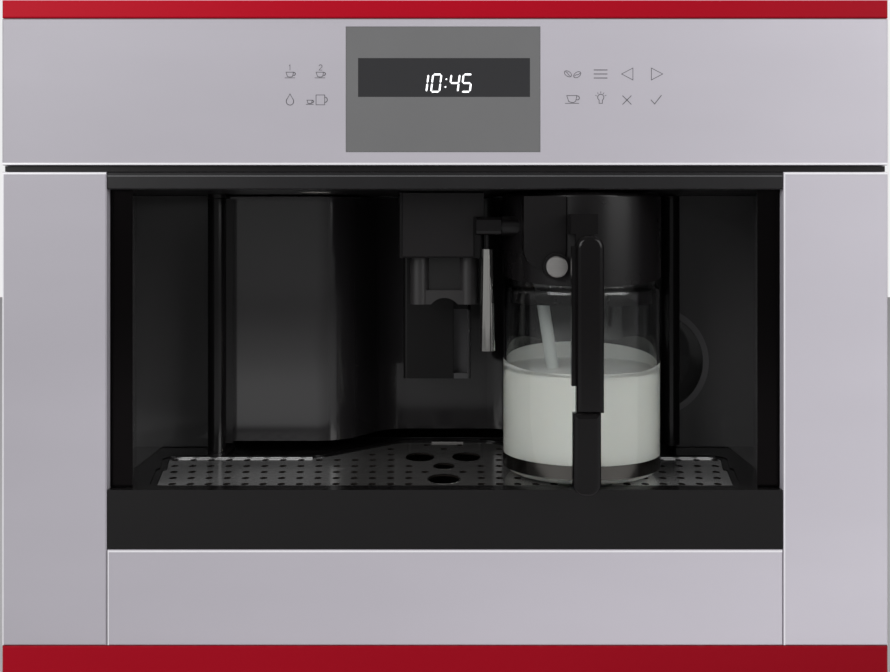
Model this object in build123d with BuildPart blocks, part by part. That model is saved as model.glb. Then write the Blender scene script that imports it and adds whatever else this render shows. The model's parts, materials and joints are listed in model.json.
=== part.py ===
from build123d import *
import os

# Built-in coffee machine with a milk jug, on pull-out guides.
#
# Millimetres. X to the right, Y into the machine, Z up. While it is built, Y is 0 at the plane of the
# front panels, so a Y value is a depth behind the front. The pieces are written with the origin at the
# centre of the base of the whole machine.

# ---------------------------------------------------------------- driving dimensions
# clearances
seat = 0.2  # between two fixed pieces that are fitted together
gap = 0.5  # between a piece that moves and what it passes
run = 0.06  # radial clearance of a shaft in its bearing

# front
front_width = 595.0
front_height = 455.0
front_base = 0.5  # underside of the front above the cabinet shelf
front_depth = 18.0
front_sheet = 1.5
strip_height = 12.0
base_strip_height = 20.5
panel_height = 98.4
shadow_gap = 4.6
joint_gap = 0.5
trim_width = 70.1
bar_height = 11.6
drawer_front_height = 39.6
edge_break = 0.8

# display
display_x = -1.3
display_width = 130.3
display_height = 84.0
display_top = 18.0  # below the top of the front
glass_thickness = 3.0
window_width = 115.5
window_height = 26.2

# carcass
body_side_room = 36.0  # the body is narrower than the front
body_bottom = 12.0
body_top = 440.0
body_back = 398.0
sheet = 1.5
flange = 12.0
frame_thickness = 4.0
frame_side_room = 1.0
frame_bottom = 6.0
frame_top = 450.0
shelf_depth_start = 187.0
drawer_shelf_top = 85.5
inner_shelf_top = 139.5

# guides
guide_room = 15.0  # from the body to the outer face of the cabinet rails
guide_start = 30.0
guide_length = 340.0
guide_lip = 8.0
guide_top = 52.0
guide_low = 12.0
foot_width = 40.0
foot_thickness = 2.0
foot_hole_radius = 2.5
foot_hole_ends = 30.0
guide_travel = 300.0

# niche
niche_wall = 2.5
cheek_depth = 8.0
cheek_width = 15.4
pocket_room = 20.6
pocket_depth = 148.0
pocket_return = 41.4
deck_top = 125.8
niche_floor = 126.3
ceiling_depth = 186.0
recess_inset = 18.0
recess_z = 194.5
recess_radius = 38.8
recess_ring = 5.1
recess_depth = 22.0
lamp_radius = 11.0
lamp_x = 95.0
lamp_depth = 70.0

# service door
door_depth = 121.0
door_skin = 3.0
door_hinge_room = 7.5
door_grip_room = 18.0
door_bottom = 136.0
door_top = 326.4
door_back = 184.0
door_turn_left = -80.0
door_turn_right = 78.0
channel_left = -48.5
channel_right = 50.0
channel_depth = 175.0
channel_radii = (38.0, 30.0, 25.0, 20.0)
hinge_inset = 10.0
hinge_depth = 112.0
pin_radius = 2.5
pin_length = 12.0
bar_radius = 7.0
grip_inset = 12.8
grip_depth = 108.0
bracket_plate = 3.0

# coffee outlet
outlet_left = -33.5
outlet_right = 28.0
outlet_top = 327.2
outlet_depth = 47.0
outlet_bottom = 280.5
outlet_wall = 2.0
plate_thickness = 2.0
column_left = -31.5
column_right = 19.5
column_depth = 96.0
column_bottom = 188.0
tongue_x = 11.7
tongue_half = 5.0
tongue_length = 8.0
outlet_travel = 55.0
spout_x = 17.9
spout_mid = -0.4
spout_depth = 62.0
spout_radius = 7.0
spout_bore = 2.6
spout_tip = 246.7
bridge_top = 256.9
arch_radius = 12.3
arch_centre = 239.1

# milk jug
jug_x = 98.9
jug_depth = 62.0
jug_radius = 56.5
jug_wall = 2.2
jug_base = 126.2
neck_radius = 53.4
shoulder_z = 258.0
neck_top = 275.0
band_bottom = 131.0
band_top = 140.4
band_thickness = 0.3
milk_level = 201.0
lid_bottom = 262.0
lid_bottom_rise = 13.0  # the rim is higher at the back
lid_top = 326.2
lid_radius = 57.0
lid_wall = 3.0
skirt_bottom = 248.4
skirt_gap = 0.6
skirt_wall = 1.6
boss_x = 67.6
boss_half_width = 14.2
boss_bottom = 273.5
boss_top = 323.4
boss_depth = 5.0
button_x = 75.2
button_z = 275.8
button_radius = 7.2
button_travel = 2.0
button_housing = 9.1
button_front = -0.5
handle_x = 94.0
handle_front = -30.0
handle_thickness = 12.0
handle_half_width = 9.0
handle_split = 182.0
handle_top = 297.0
link_top = 311.0
link_height = 13.0
nozzle_z = 299.0
nozzle_radius = 8.0
intake_radius = 4.5
intake_wall = 0.9

# milk outlet
arm_depth = 36.5
arm_half_depth = 6.0
arm_left = 22.0
arm_bottom = 296.9
arm_top = 309.6
pivot_radius = 4.0
tube_x = 29.8
tube_top = 287.0
tube_tip = 215.6
tube_top_radius = 4.0
tube_tip_radius = 5.6

# drawer
drawer_side_room = 0.5
drawer_wall_depth = 10.0
deck_thickness = 5.2
deck_back = 184.0
basin_side_room = 6.9
basin_back = 334.0
basin_wall = 2.5
grid_top = 124.6
grid_sheet = 1.2
grid_front = 17.5
grid_back = 110.0
grid_front_room = 28.9
grid_back_room = 14.9
bulge_back = 172.0
bulge_half = 38.0
bulge_foot = 96.0
bulge_lip = (-11.0, 15.0)
grid_ledge = 2.5
grid_border = 5.0
hole_pitch = 12.6
hole_columns = 15  # on each side of the middle one
hole_rows = (23.4, 42.0, 61.6, 82.1, 103.8)
hole_spread = 0.09  # wider pitch in the last row than in the first
hole_width = 5.4
hole_length = 7.0
container_half_width = 118.0
container_front = 190.0
container_top = 125.4

# coffee and water
grinder_side_room = 74.0
grinder_depth = 236.0
grinder_radius = 34.0
motor_radius = 30.0
burr_chamber_radius = 26.0
burr_radius = 23.0
burr_shaft_radius = 4.0
hopper_half = 60.0
hopper_wall = 2.0
hopper_bend_drop = 48.0
hopper_neck_radius = 20.0
web_low = 338.0
knob_radius = 14.0
knob_drop = 16.0
knob_height = 16.0
knob_shaft_radius = 5.0
lid_thickness = 2.5
lid_pin_radius = 1.5
lid_knuckle_radius = 3.6
brew_half_width = 45.0
brew_front_room = 40.0
brew_back_room = 70.0
brew_top = 320.0
brew_wall = 3.0
chamber_depth = 236.0
chamber_radius = 23.0
piston_travel = 30.0
spindle_offset = 48.0
spindle_radius = 4.0
tank_side_room = 14.0
tank_width = 86.0
tank_front = 290.0
tank_back = 392.0
tank_bottom = 139.9
tank_top = 437.5
tank_wall = 2.5
pump_offset = 45.0
pump_radius = 20.0
hose_radius = 3.5

# mains
inlet_x = -200.0
inlet_z = 60.0
switch_x = -145.0
rocker_depth = 389.0
rocker_pin = 1.5
machine_back = 400.0

# ---------------------------------------------------------------- levels that follow
front_left = -front_width / 2
front_right = front_width / 2
front_top = front_height
strip_bottom = front_top - strip_height
panel_top = strip_bottom - joint_gap
panel_bottom = panel_top - panel_height
trim_top = panel_bottom - shadow_gap
trim_bottom = front_base + base_strip_height + joint_gap
niche_half = front_right - trim_width
bar_bottom = trim_top - bar_height
ceiling_bottom = bar_bottom + seat
drawer_bottom = deck_top - drawer_front_height
frame_front = front_depth + seat
frame_back = frame_front + frame_thickness
body_half_width = front_right - body_side_room
frame_half_width = front_right - frame_side_room
side_inner = body_half_width - sheet
guide_outer = body_half_width + guide_room
origin_depth = (machine_back + handle_front) / 2
brew_front = chamber_depth - brew_front_room
brew_back = chamber_depth + brew_back_room
spindle_depth = chamber_depth + spindle_offset
cheek_half_width = niche_half - cheek_width
pocket_half_width = niche_half + pocket_room
pocket_inner = niche_half - pocket_return
recess_x = pocket_inner - recess_inset
hinge_x = -pocket_inner + hinge_inset
door_left = hinge_x + door_hinge_room
door_right = pocket_inner - door_grip_room
grip_x = pocket_inner - grip_inset
grinder_x = -side_inner + grinder_side_room
tank_right = side_inner - tank_side_room
tank_left = tank_right - tank_width
pump_x = tank_left + pump_offset
drawer_half_width = niche_half - drawer_side_room
basin_half_width = drawer_half_width - basin_side_room
grid_front_half = drawer_half_width - grid_front_room
grid_back_half = drawer_half_width - grid_back_room

pieces = []


# ---------------------------------------------------------------- helpers
def block(x, y, z, mode=Mode.ADD):
    """A box between two limits on each axis."""
    spans = (x, y, z)
    middle = tuple((low + high) / 2 for low, high in spans)
    with Locations(middle):
        Box(*(high - low for low, high in spans), mode=mode)


def sided(side, inner, outer):
    """The X limits of something on the left (-1) or right (1) side."""
    return tuple(sorted((side * inner, side * outer)))


def at_depth(depth):
    """The plane parallel to the front at this depth, seen from the front."""
    return Plane.XZ.offset(-depth)


def bar_y(x, z, start, end, radius, mode=Mode.ADD):
    """A round bar along Y."""
    with Locations((x, (start + end) / 2, z)):
        Cylinder(radius, end - start, rotation=(90, 0, 0), mode=mode)


def bar_z(x, y, low, high, radius, mode=Mode.ADD):
    """A round bar along Z."""
    with Locations((x, y, (low + high) / 2)):
        Cylinder(radius, high - low, mode=mode)


def bar_x(y, z, left, right, radius, mode=Mode.ADD):
    """A round bar along X."""
    with Locations(((left + right) / 2, y, z)):
        Cylinder(radius, right - left, rotation=(0, 90, 0), mode=mode)


def pan(x, z):
    """A front panel: a folded sheet, open at the back."""
    block(x, (0, front_depth), z)
    chamfer(faces().sort_by(Axis.Y)[0].edges(), edge_break)
    inside_x = (x[0] + front_sheet, x[1] - front_sheet)
    inside_z = (z[0] + front_sheet, z[1] - front_sheet)
    block(inside_x, (front_sheet, front_depth), inside_z, mode=Mode.SUBTRACT)


def finish(piece, name):
    """Names a finished piece and keeps it for writing."""
    piece.part.label = name
    pieces.append(piece.part)


# ---------------------------------------------------------------- pull-out guides
with BuildPart() as outer_rails:
    for side in (-1, 1):
        ends = (guide_start, guide_start + guide_length)
        web = sided(side, guide_outer - sheet, guide_outer)
        lip = sided(side, guide_outer - guide_lip, guide_outer)
        foot = sided(side, guide_outer - foot_width, guide_outer)
        block(web, ends, (0, guide_top))
        block(lip, ends, (guide_top - sheet, guide_top))
        block(lip, ends, (guide_low, guide_low + sheet))
        block(foot, ends, (0, foot_thickness))
        for depth in (ends[0] + foot_hole_ends, ends[1] - foot_hole_ends):
            hole_x = side * (guide_outer - foot_width + foot_hole_ends / 2)
            bar_z(hole_x, depth, 0, foot_thickness, foot_hole_radius, mode=Mode.SUBTRACT)
finish(outer_rails, "outer_rails")

middle_outer = guide_outer - sheet - gap
middle_low = guide_low + sheet + gap
middle_top = guide_top - sheet - gap
with BuildPart() as middle_rails:
    for side in (-1, 1):
        ends = (guide_start, guide_start + guide_length)
        block(sided(side, middle_outer - sheet, middle_outer), ends, (middle_low, middle_top))
        lip = sided(side, middle_outer - guide_lip, middle_outer)
        block(lip, ends, (middle_top - sheet, middle_top))
        block(lip, ends, (middle_low, middle_low + sheet))
finish(middle_rails, "middle_rails")

inner_outer = middle_outer - sheet - gap
inner_low = middle_low + sheet + gap
inner_top = middle_top - sheet - gap
with BuildPart() as inner_rails:
    for side in (-1, 1):
        ends = (guide_start, guide_start + guide_length)
        block(sided(side, body_half_width, body_half_width + sheet), ends, (inner_low, inner_top))
        lip = sided(side, body_half_width, inner_outer)
        block(lip, ends, (inner_top - sheet, inner_top))
        block(lip, ends, (inner_low, inner_low + sheet))
finish(inner_rails, "inner_rails")

# ---------------------------------------------------------------- carcass
cover_screws = [(side * (side_inner - flange / 2), depth) for side in (-1, 1) for depth in (50, 150)]
rear_screws = [(side * (side_inner - flange / 2), level) for side in (-1, 1) for level in (110, 250, 400)]
screw_radius = 1.8
screw_hole = screw_radius + 0.1
rear_flange = body_back - sheet  # depth of the rear flanges' outer face
top_flange = body_top - sheet

with BuildPart() as side_plates:
    for side in (-1, 1):
        depths = (frame_back, rear_flange)
        block(sided(side, side_inner, body_half_width), depths, (body_bottom, top_flange))
        inward = sided(side, side_inner - flange, side_inner)
        block(inward, depths, (top_flange - sheet, top_flange))
        block(inward, (rear_flange - sheet, rear_flange), (body_bottom + sheet, top_flange))
        for slot in range(6):
            low = 170 + 14 * slot
            web = sided(side, side_inner, body_half_width)
            block(web, (300, 370), (low, low + 6), mode=Mode.SUBTRACT)
    for x, depth in cover_screws:
        bar_z(x, depth, top_flange - sheet, top_flange, screw_hole, mode=Mode.SUBTRACT)
    for x, level in rear_screws:
        bar_y(x, level, rear_flange - sheet, rear_flange, screw_hole, mode=Mode.SUBTRACT)
finish(side_plates, "side_plates")

with BuildPart() as base_plate:
    block((-side_inner, side_inner), (frame_back, rear_flange - sheet), (body_bottom, body_bottom + sheet))
finish(base_plate, "base_plate")

with BuildPart() as drawer_shelf:
    shelf_ends = (frame_back, rear_flange - sheet)
    block((-side_inner, side_inner), shelf_ends, (drawer_shelf_top - sheet, drawer_shelf_top))
finish(drawer_shelf, "drawer_shelf")

with BuildPart() as inner_shelf:
    shelf_ends = (shelf_depth_start, rear_flange - sheet)
    block((-side_inner, side_inner), shelf_ends, (inner_shelf_top - sheet, inner_shelf_top))
    chute = (-brew_half_width + 12, brew_half_width - 12)
    block(chute, (brew_front + 6, chamber_depth + 26), (inner_shelf_top - sheet, inner_shelf_top), mode=Mode.SUBTRACT)
finish(inner_shelf, "inner_shelf")

inlet_width = 34.0
inlet_height = 24.0
switch_width = 32.0
with BuildPart() as rear_panel:
    block((-body_half_width, body_half_width), (rear_flange, body_back), (body_bottom, body_top - sheet))
    for x, level in rear_screws:
        bar_y(x, level, rear_flange, body_back, screw_hole, mode=Mode.SUBTRACT)
    window_x = (inlet_x - inlet_width / 2 - seat, switch_x + switch_width / 2 + seat)
    window_z = (inlet_z - inlet_height / 2 - seat, inlet_z + inlet_height / 2 + seat)
    block(window_x, (rear_flange, body_back), window_z, mode=Mode.SUBTRACT)
    for slot in range(8):
        left = -60 + 16 * slot
        block((left, left + 7), (rear_flange, body_back), (200, 290), mode=Mode.SUBTRACT)
finish(rear_panel, "rear_panel")

with BuildPart() as top_cover:
    block((-body_half_width, body_half_width), (frame_back, body_back), (top_flange, body_top))
    hopper_x = (grinder_x - hopper_half - seat, grinder_x + hopper_half + seat)
    hopper_y = (grinder_depth - hopper_half - seat, grinder_depth + hopper_half + seat)
    block(hopper_x, hopper_y, (top_flange, body_top), mode=Mode.SUBTRACT)
    tank_x = (tank_left - gap, tank_right + gap)
    block(tank_x, (tank_front - gap, tank_back + gap), (top_flange, body_top), mode=Mode.SUBTRACT)
    for x, depth in cover_screws:
        bar_z(x, depth, top_flange, body_top, screw_hole, mode=Mode.SUBTRACT)
finish(top_cover, "top_cover")

head_radius = 3.6
head_height = 1.8
shank_length = 8.0
with BuildPart() as panel_screws:
    for x, depth in cover_screws:
        bar_z(x, depth, body_top, body_top + head_height, head_radius)
        bar_z(x, depth, body_top - shank_length, body_top, screw_radius)
    for x, level in rear_screws:
        bar_y(x, level, body_back, body_back + head_height, head_radius)
        bar_y(x, level, body_back - shank_length, body_back, screw_radius)
finish(panel_screws, "panel_screws")

with BuildPart() as front_frame:
    block((-frame_half_width, frame_half_width), (frame_front, frame_back), (frame_bottom, frame_top))
    opening = (-niche_half, niche_half)
    block(opening, (frame_front, frame_back), (drawer_bottom - gap, bar_bottom), mode=Mode.SUBTRACT)
    filler = (-frame_half_width - 0.5, frame_half_width + 0.5)
    block(filler, (4, frame_front), (trim_top + 2 * seat, panel_bottom - 2 * seat))
finish(front_frame, "front_frame")

# ---------------------------------------------------------------- front panels
window_centre_z = front_top - display_top - display_height / 2
display_left = display_x - display_width / 2
display_right = display_x + display_width / 2
display_low = front_top - display_top - display_height
display_high = front_top - display_top

with BuildPart() as control_panel:
    pan((front_left, front_right), (panel_bottom, panel_top))
    cut_x = (display_left - seat, display_right + seat)
    block(cut_x, (0, front_depth), (display_low - seat, display_high + seat), mode=Mode.SUBTRACT)
finish(control_panel, "control_panel")

with BuildPart() as display_glass:
    block((display_left, display_right), (0, glass_thickness), (display_low, display_high))
finish(display_glass, "display_glass")

module_top = display_high - 21.0
board_depth = 12.0
board_thickness = 1.6
with BuildPart() as control_board:
    board_x = (display_left - 95, display_right + 95)
    block(board_x, (board_depth, board_depth + board_thickness), (display_low + 6, display_high - 6))
    module_x = (display_x - window_width / 2, display_x + window_width / 2)
    block(module_x, (glass_thickness + seat, board_depth), (module_top - window_height, module_top))
    for x in (board_x[0] + 8, board_x[1] - 8):
        for level in (display_low + 14, display_high - 14):
            bar_y(x, level, board_depth, frame_front, 3)
finish(control_board, "control_board")

with BuildPart() as top_strip:
    pan((front_left, front_right), (strip_bottom, front_top))
finish(top_strip, "top_strip")

with BuildPart() as bottom_strip:
    pan((front_left, front_right), (front_base, front_base + base_strip_height))
finish(bottom_strip, "bottom_strip")

with BuildPart() as left_trim:
    pan((front_left, -niche_half), (trim_bottom, trim_top))
finish(left_trim, "left_trim")

with BuildPart() as right_trim:
    pan((niche_half, front_right), (trim_bottom, trim_top))
finish(right_trim, "right_trim")

with BuildPart() as lower_panel:
    lower_top = drawer_bottom - gap
    pan((-niche_half + joint_gap, niche_half - joint_gap), (trim_bottom, lower_top))
finish(lower_panel, "lower_panel")

with BuildPart() as niche_bar:
    pan((-niche_half + seat, niche_half - seat), (bar_bottom, trim_top))
finish(niche_bar, "niche_bar")


# ---------------------------------------------------------------- niche
def niche_side(side):
    """Cheek, slanted wall, back panel and floor ledge of one side of the niche."""
    edge = niche_half - seat
    with BuildSketch(Plane.XY.offset(niche_floor)) as lining:
        with BuildLine():
            Polyline(
                (side * edge, cheek_depth),
                (side * cheek_half_width, cheek_depth),
                (side * pocket_half_width, pocket_depth),
                (side * pocket_inner, pocket_depth),
                (side * pocket_inner, pocket_depth + 14),
            )
            outward = Side.LEFT if side < 0 else Side.RIGHT
            offset(amount=niche_wall, side=outward, kind=Kind.INTERSECTION)
        make_face()
    extrude(lining.sketch, amount=bar_bottom - seat - niche_floor)
    ledge_inner = drawer_half_width + gap
    with BuildSketch(Plane.XY.offset(niche_floor - niche_wall)) as ledge:
        with BuildLine():
            Polyline(
                (side * ledge_inner, frame_back),
                (side * ledge_inner, pocket_depth + niche_wall),
                (side * side_inner, pocket_depth + niche_wall),
                (side * side_inner, frame_back),
                close=True,
            )
        make_face()
    extrude(ledge.sketch, amount=niche_wall)


with BuildPart() as left_niche_side:
    niche_side(-1)
finish(left_niche_side, "left_niche_side")

with BuildPart() as right_niche_side:
    niche_side(1)
    ring = recess_radius + recess_ring
    cup_radius = recess_radius + niche_wall
    bar_y(recess_x, recess_z, pocket_depth - 1.2, pocket_depth, ring)
    bar_y(recess_x, recess_z, pocket_depth, pocket_depth + recess_depth + niche_wall, cup_radius)
    bar_y(recess_x, recess_z, pocket_depth - 5, pocket_depth + recess_depth, recess_radius, mode=Mode.SUBTRACT)
    left_of_panel = (recess_x - ring - 1, pocket_inner)
    block(left_of_panel, (100, 200), (recess_z - ring - 1, recess_z + ring + 1), mode=Mode.SUBTRACT)
finish(right_niche_side, "right_niche_side")

with BuildPart() as niche_ceiling:
    block((-side_inner, side_inner), (frame_back, ceiling_depth), (ceiling_bottom, ceiling_bottom + 2))
    for side in (-1, 1):
        lamp_low = ceiling_bottom
        bar_z(side * lamp_x, lamp_depth, lamp_low, lamp_low + 2, lamp_radius + seat, mode=Mode.SUBTRACT)
finish(niche_ceiling, "niche_ceiling")

with BuildPart() as niche_lamps:
    for side in (-1, 1):
        bar_z(side * lamp_x, lamp_depth, ceiling_bottom, ceiling_bottom + 9, lamp_radius)
        bar_z(side * lamp_x, lamp_depth, ceiling_bottom + 2, ceiling_bottom + 4, lamp_radius + 3)
finish(niche_lamps, "niche_lamps")

hinge_low = niche_floor + bracket_plate  # top of the lower bracket
hinge_high = ceiling_bottom - bracket_plate - seat  # underside of the upper bracket
with BuildPart() as hinge_brackets:
    arm_x = (hinge_x - bar_radius, hinge_x + bar_radius)
    plate_x = (-pocket_inner + seat, -pocket_inner + seat + bracket_plate)
    plate_y = (hinge_depth + 2 * bar_radius, pocket_depth + 13)
    for low, high in ((niche_floor, hinge_low), (hinge_high, ceiling_bottom - seat)):
        block(arm_x, (hinge_depth, pocket_depth), (low, high))
        bar_z(hinge_x, hinge_depth, low, high, bar_radius)
    block(plate_x, plate_y, (niche_floor, niche_floor + 22))
    block(plate_x, plate_y, (ceiling_bottom - 22, ceiling_bottom - seat))
    bar_z(hinge_x, hinge_depth, hinge_low, hinge_low + pin_length, pin_radius)
    bar_z(hinge_x, hinge_depth, hinge_high - pin_length, hinge_high, pin_radius)
finish(hinge_brackets, "hinge_brackets")


# ---------------------------------------------------------------- service door
def door_line(right):
    """The door's front face in plan: flat, curving back into the channel behind the outlet."""
    return FilletPolyline(
        (door_left, door_depth),
        (door_turn_left, door_depth),
        (channel_left, channel_depth),
        (channel_right, channel_depth),
        (door_turn_right, door_depth),
        (right, door_depth),
        radius=list(channel_radii),
    )


def door_shell(right, thickness, mode=Mode.ADD):
    """A sheet of this thickness behind the door's front face."""
    with BuildSketch(Plane.XY.offset(door_bottom)) as shell:
        with BuildLine():
            door_line(right)
            offset(amount=thickness, side=Side.LEFT)
        make_face()
    extrude(shell.sketch, amount=door_top - door_bottom, mode=mode)


with BuildPart() as door_panel:
    door_shell(door_right, door_skin)
    bar_y(jug_x, nozzle_z, door_depth - 8, door_depth, nozzle_radius)
    bar_y(jug_x, nozzle_z, door_depth - 8, door_depth + door_skin, 3, mode=Mode.SUBTRACT)
finish(door_panel, "door_panel")

cover_left = hinge_x + 14
cover_right = door_right - 0.5
with BuildPart() as door_cover:
    block((cover_left, cover_right), (door_depth, door_back), (door_bottom, door_top))
    inside_x = (cover_left + niche_wall, cover_right - niche_wall)
    inside_z = (door_bottom + niche_wall, door_top - niche_wall)
    block(inside_x, (door_depth, door_back - niche_wall), inside_z, mode=Mode.SUBTRACT)
    with BuildSketch(Plane.XY.offset(door_bottom)):
        with BuildLine():
            front_line = door_line(door_right + 5)
            Polyline(front_line @ 1, (door_right + 5, 60), (door_left, 60), front_line @ 0)
        make_face()
    extrude(amount=door_top - door_bottom, mode=Mode.SUBTRACT)
    door_shell(door_right + 5, door_skin + seat, mode=Mode.SUBTRACT)
finish(door_cover, "door_cover")

with BuildPart() as door_bars:
    bar_low = hinge_low + gap
    bar_high = hinge_high - gap
    bar_z(hinge_x, hinge_depth, bar_low, bar_high, bar_radius)
    block((hinge_x, door_left + 4.5), (hinge_depth, door_depth - 0.1), (door_bottom, bar_high))
    for low in (bar_low, bar_high - pin_length - 1):
        bar_z(hinge_x, hinge_depth, low, low + pin_length + 1, pin_radius + run, mode=Mode.SUBTRACT)
    bar_z(grip_x, grip_depth, door_bottom, door_top, bar_radius)
    fin = (grip_x - bar_radius, grip_x - bar_radius + 5)
    block((fin[0], grip_x), (grip_depth, grip_depth + 4), (door_bottom, door_top))
    block(fin, (grip_depth, door_depth - 0.1), (door_bottom, door_top))
finish(door_bars, "door_bars")

slot_half = tongue_half + 0.35
with BuildPart() as outlet_column:
    block((column_left, column_right), (column_depth, channel_depth - 0.1), (column_bottom, door_top - 1))
    fillet(edges().filter_by(Axis.Z).sort_by(Axis.Y)[:2], 3)
    slot_x = (tongue_x - slot_half, tongue_x + slot_half)
    slot_y = (column_depth, column_depth + tongue_length + gap)
    block(slot_x, slot_y, (column_bottom + 4, door_top - 1), mode=Mode.SUBTRACT)
finish(outlet_column, "outlet_column")

# ---------------------------------------------------------------- coffee outlet
outlet_back = column_depth - gap
with BuildPart() as outlet_housing:
    block((outlet_left, outlet_right), (outlet_depth, outlet_back), (outlet_bottom, outlet_top))
    fillet(edges().filter_by(Axis.Z).sort_by(Axis.Y)[:2], 3)
    inside_x = (outlet_left + outlet_wall, outlet_right - outlet_wall)
    inside_y = (outlet_depth + outlet_wall, outlet_back - outlet_wall)
    block(inside_x, inside_y, (outlet_bottom, outlet_top - outlet_wall), mode=Mode.SUBTRACT)
    tongue = (tongue_x - tongue_half, tongue_x + tongue_half)
    block(tongue, (outlet_back, column_depth + tongue_length), (outlet_bottom, outlet_top))
finish(outlet_housing, "outlet_housing")

with BuildPart() as outlet_plate:
    plate_x = (outlet_left + 3, outlet_right)
    plate_y = (outlet_depth - plate_thickness, outlet_depth)
    block(plate_x, plate_y, (outlet_bottom + 0.8, outlet_top))
    notch_x = (outlet_right - 7.4, outlet_right + 1)
    block(notch_x, plate_y, (outlet_bottom, arm_top + 0.1), mode=Mode.SUBTRACT)
    chamfer(faces().sort_by(Axis.Y)[0].edges(), 0.4)
finish(outlet_plate, "outlet_plate")

with BuildPart() as twin_spout:
    base_x = (inside_x[0] + seat, inside_x[1] - seat)
    block(base_x, (inside_y[0] + seat, inside_y[1] - seat), (outlet_bottom, outlet_bottom + 2.4))
    spout_centres = (spout_mid - spout_x, spout_mid + spout_x)
    for x in spout_centres:
        bar_z(x, spout_depth, spout_tip, outlet_bottom + 12, spout_radius)
    web = (spout_centres[0], spout_centres[1])
    block(web, (spout_depth - 2, spout_depth + 2), (spout_tip, outlet_bottom + 1))
    block(web, (spout_depth - 5.5, spout_depth + 5.5), (spout_tip, bridge_top))
    bar_y(spout_mid, arch_centre, spout_depth - 10, spout_depth + 10, arch_radius, mode=Mode.SUBTRACT)
    for x in spout_centres:
        bar_z(x, spout_depth, spout_tip, outlet_bottom + 12, spout_bore, mode=Mode.SUBTRACT)
finish(twin_spout, "twin_spout")

# ---------------------------------------------------------------- milk jug
with BuildPart() as jug_glass:
    with BuildSketch(Plane.XZ):
        with BuildLine():
            outer_wall = FilletPolyline(
                (0, jug_base),
                (jug_radius, jug_base),
                (jug_radius, shoulder_z),
                (neck_radius, shoulder_z + 3),
                (neck_radius, neck_top),
                radius=[9, 2, 2],
            )
            inner_wall = FilletPolyline(
                (0, jug_base + jug_wall),
                (jug_radius - jug_wall, jug_base + jug_wall),
                (jug_radius - jug_wall, shoulder_z - 1),
                (neck_radius - jug_wall, shoulder_z + 2),
                (neck_radius - jug_wall, neck_top),
                radius=[9 - jug_wall, 2, 2],
            )
            Line(outer_wall @ 0, inner_wall @ 0)
            Line(outer_wall @ 1, inner_wall @ 1)
        make_face()
    revolve(axis=Axis.Z)
jug_glass.part = jug_glass.part.moved(Location((jug_x, jug_depth, 0)))
finish(jug_glass, "jug_glass")

intake_top = (-32.3, -8.0, neck_top - 0.4)
intake_tip = (-11.3, -4.0, jug_base + 10)
intake_path = Edge.make_line(intake_top, intake_tip)
intake_plane = Plane(origin=intake_tip, z_dir=Vector(*intake_top) - Vector(*intake_tip))
jug_place = Location((jug_x, jug_depth, 0))

milk_clearance = 0.15
with BuildPart() as milk:
    with BuildSketch(Plane.XZ):
        with BuildLine():
            wall_radius = jug_radius - jug_wall - milk_clearance
            floor_z = jug_base + jug_wall + milk_clearance
            side_line = FilletPolyline(
                (0, floor_z),
                (wall_radius, floor_z),
                (wall_radius, milk_level),
                (0, milk_level),
                radius=[9 - jug_wall, 0],
            )
            Line(side_line @ 1, side_line @ 0)
        make_face()
    revolve(axis=Axis.Z)
    with BuildSketch(intake_plane):
        Circle(intake_radius + run)
    extrude(amount=neck_top - jug_base, mode=Mode.SUBTRACT)
    bar_z(intake_tip[0], intake_tip[1], floor_z + 2, intake_tip[2] + 1, intake_radius + 0.5, mode=Mode.SUBTRACT)
milk.part = milk.part.moved(jug_place)
finish(milk, "milk")

with BuildPart() as intake_tube:
    with BuildSketch(intake_plane):
        Circle(intake_radius)
        Circle(intake_radius - intake_wall, mode=Mode.SUBTRACT)
    extrude(amount=intake_path.length)
intake_tube.part = intake_tube.part.moved(jug_place)
finish(intake_tube, "intake_tube")

with BuildPart() as jug_band:
    bar_z(0, 0, band_bottom, band_top, jug_radius + 0.1 + band_thickness)
    bar_z(0, 0, band_bottom, band_top, jug_radius + 0.1, mode=Mode.SUBTRACT)
jug_band.part = jug_band.part.moved(jug_place)
finish(jug_band, "jug_band")

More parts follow.
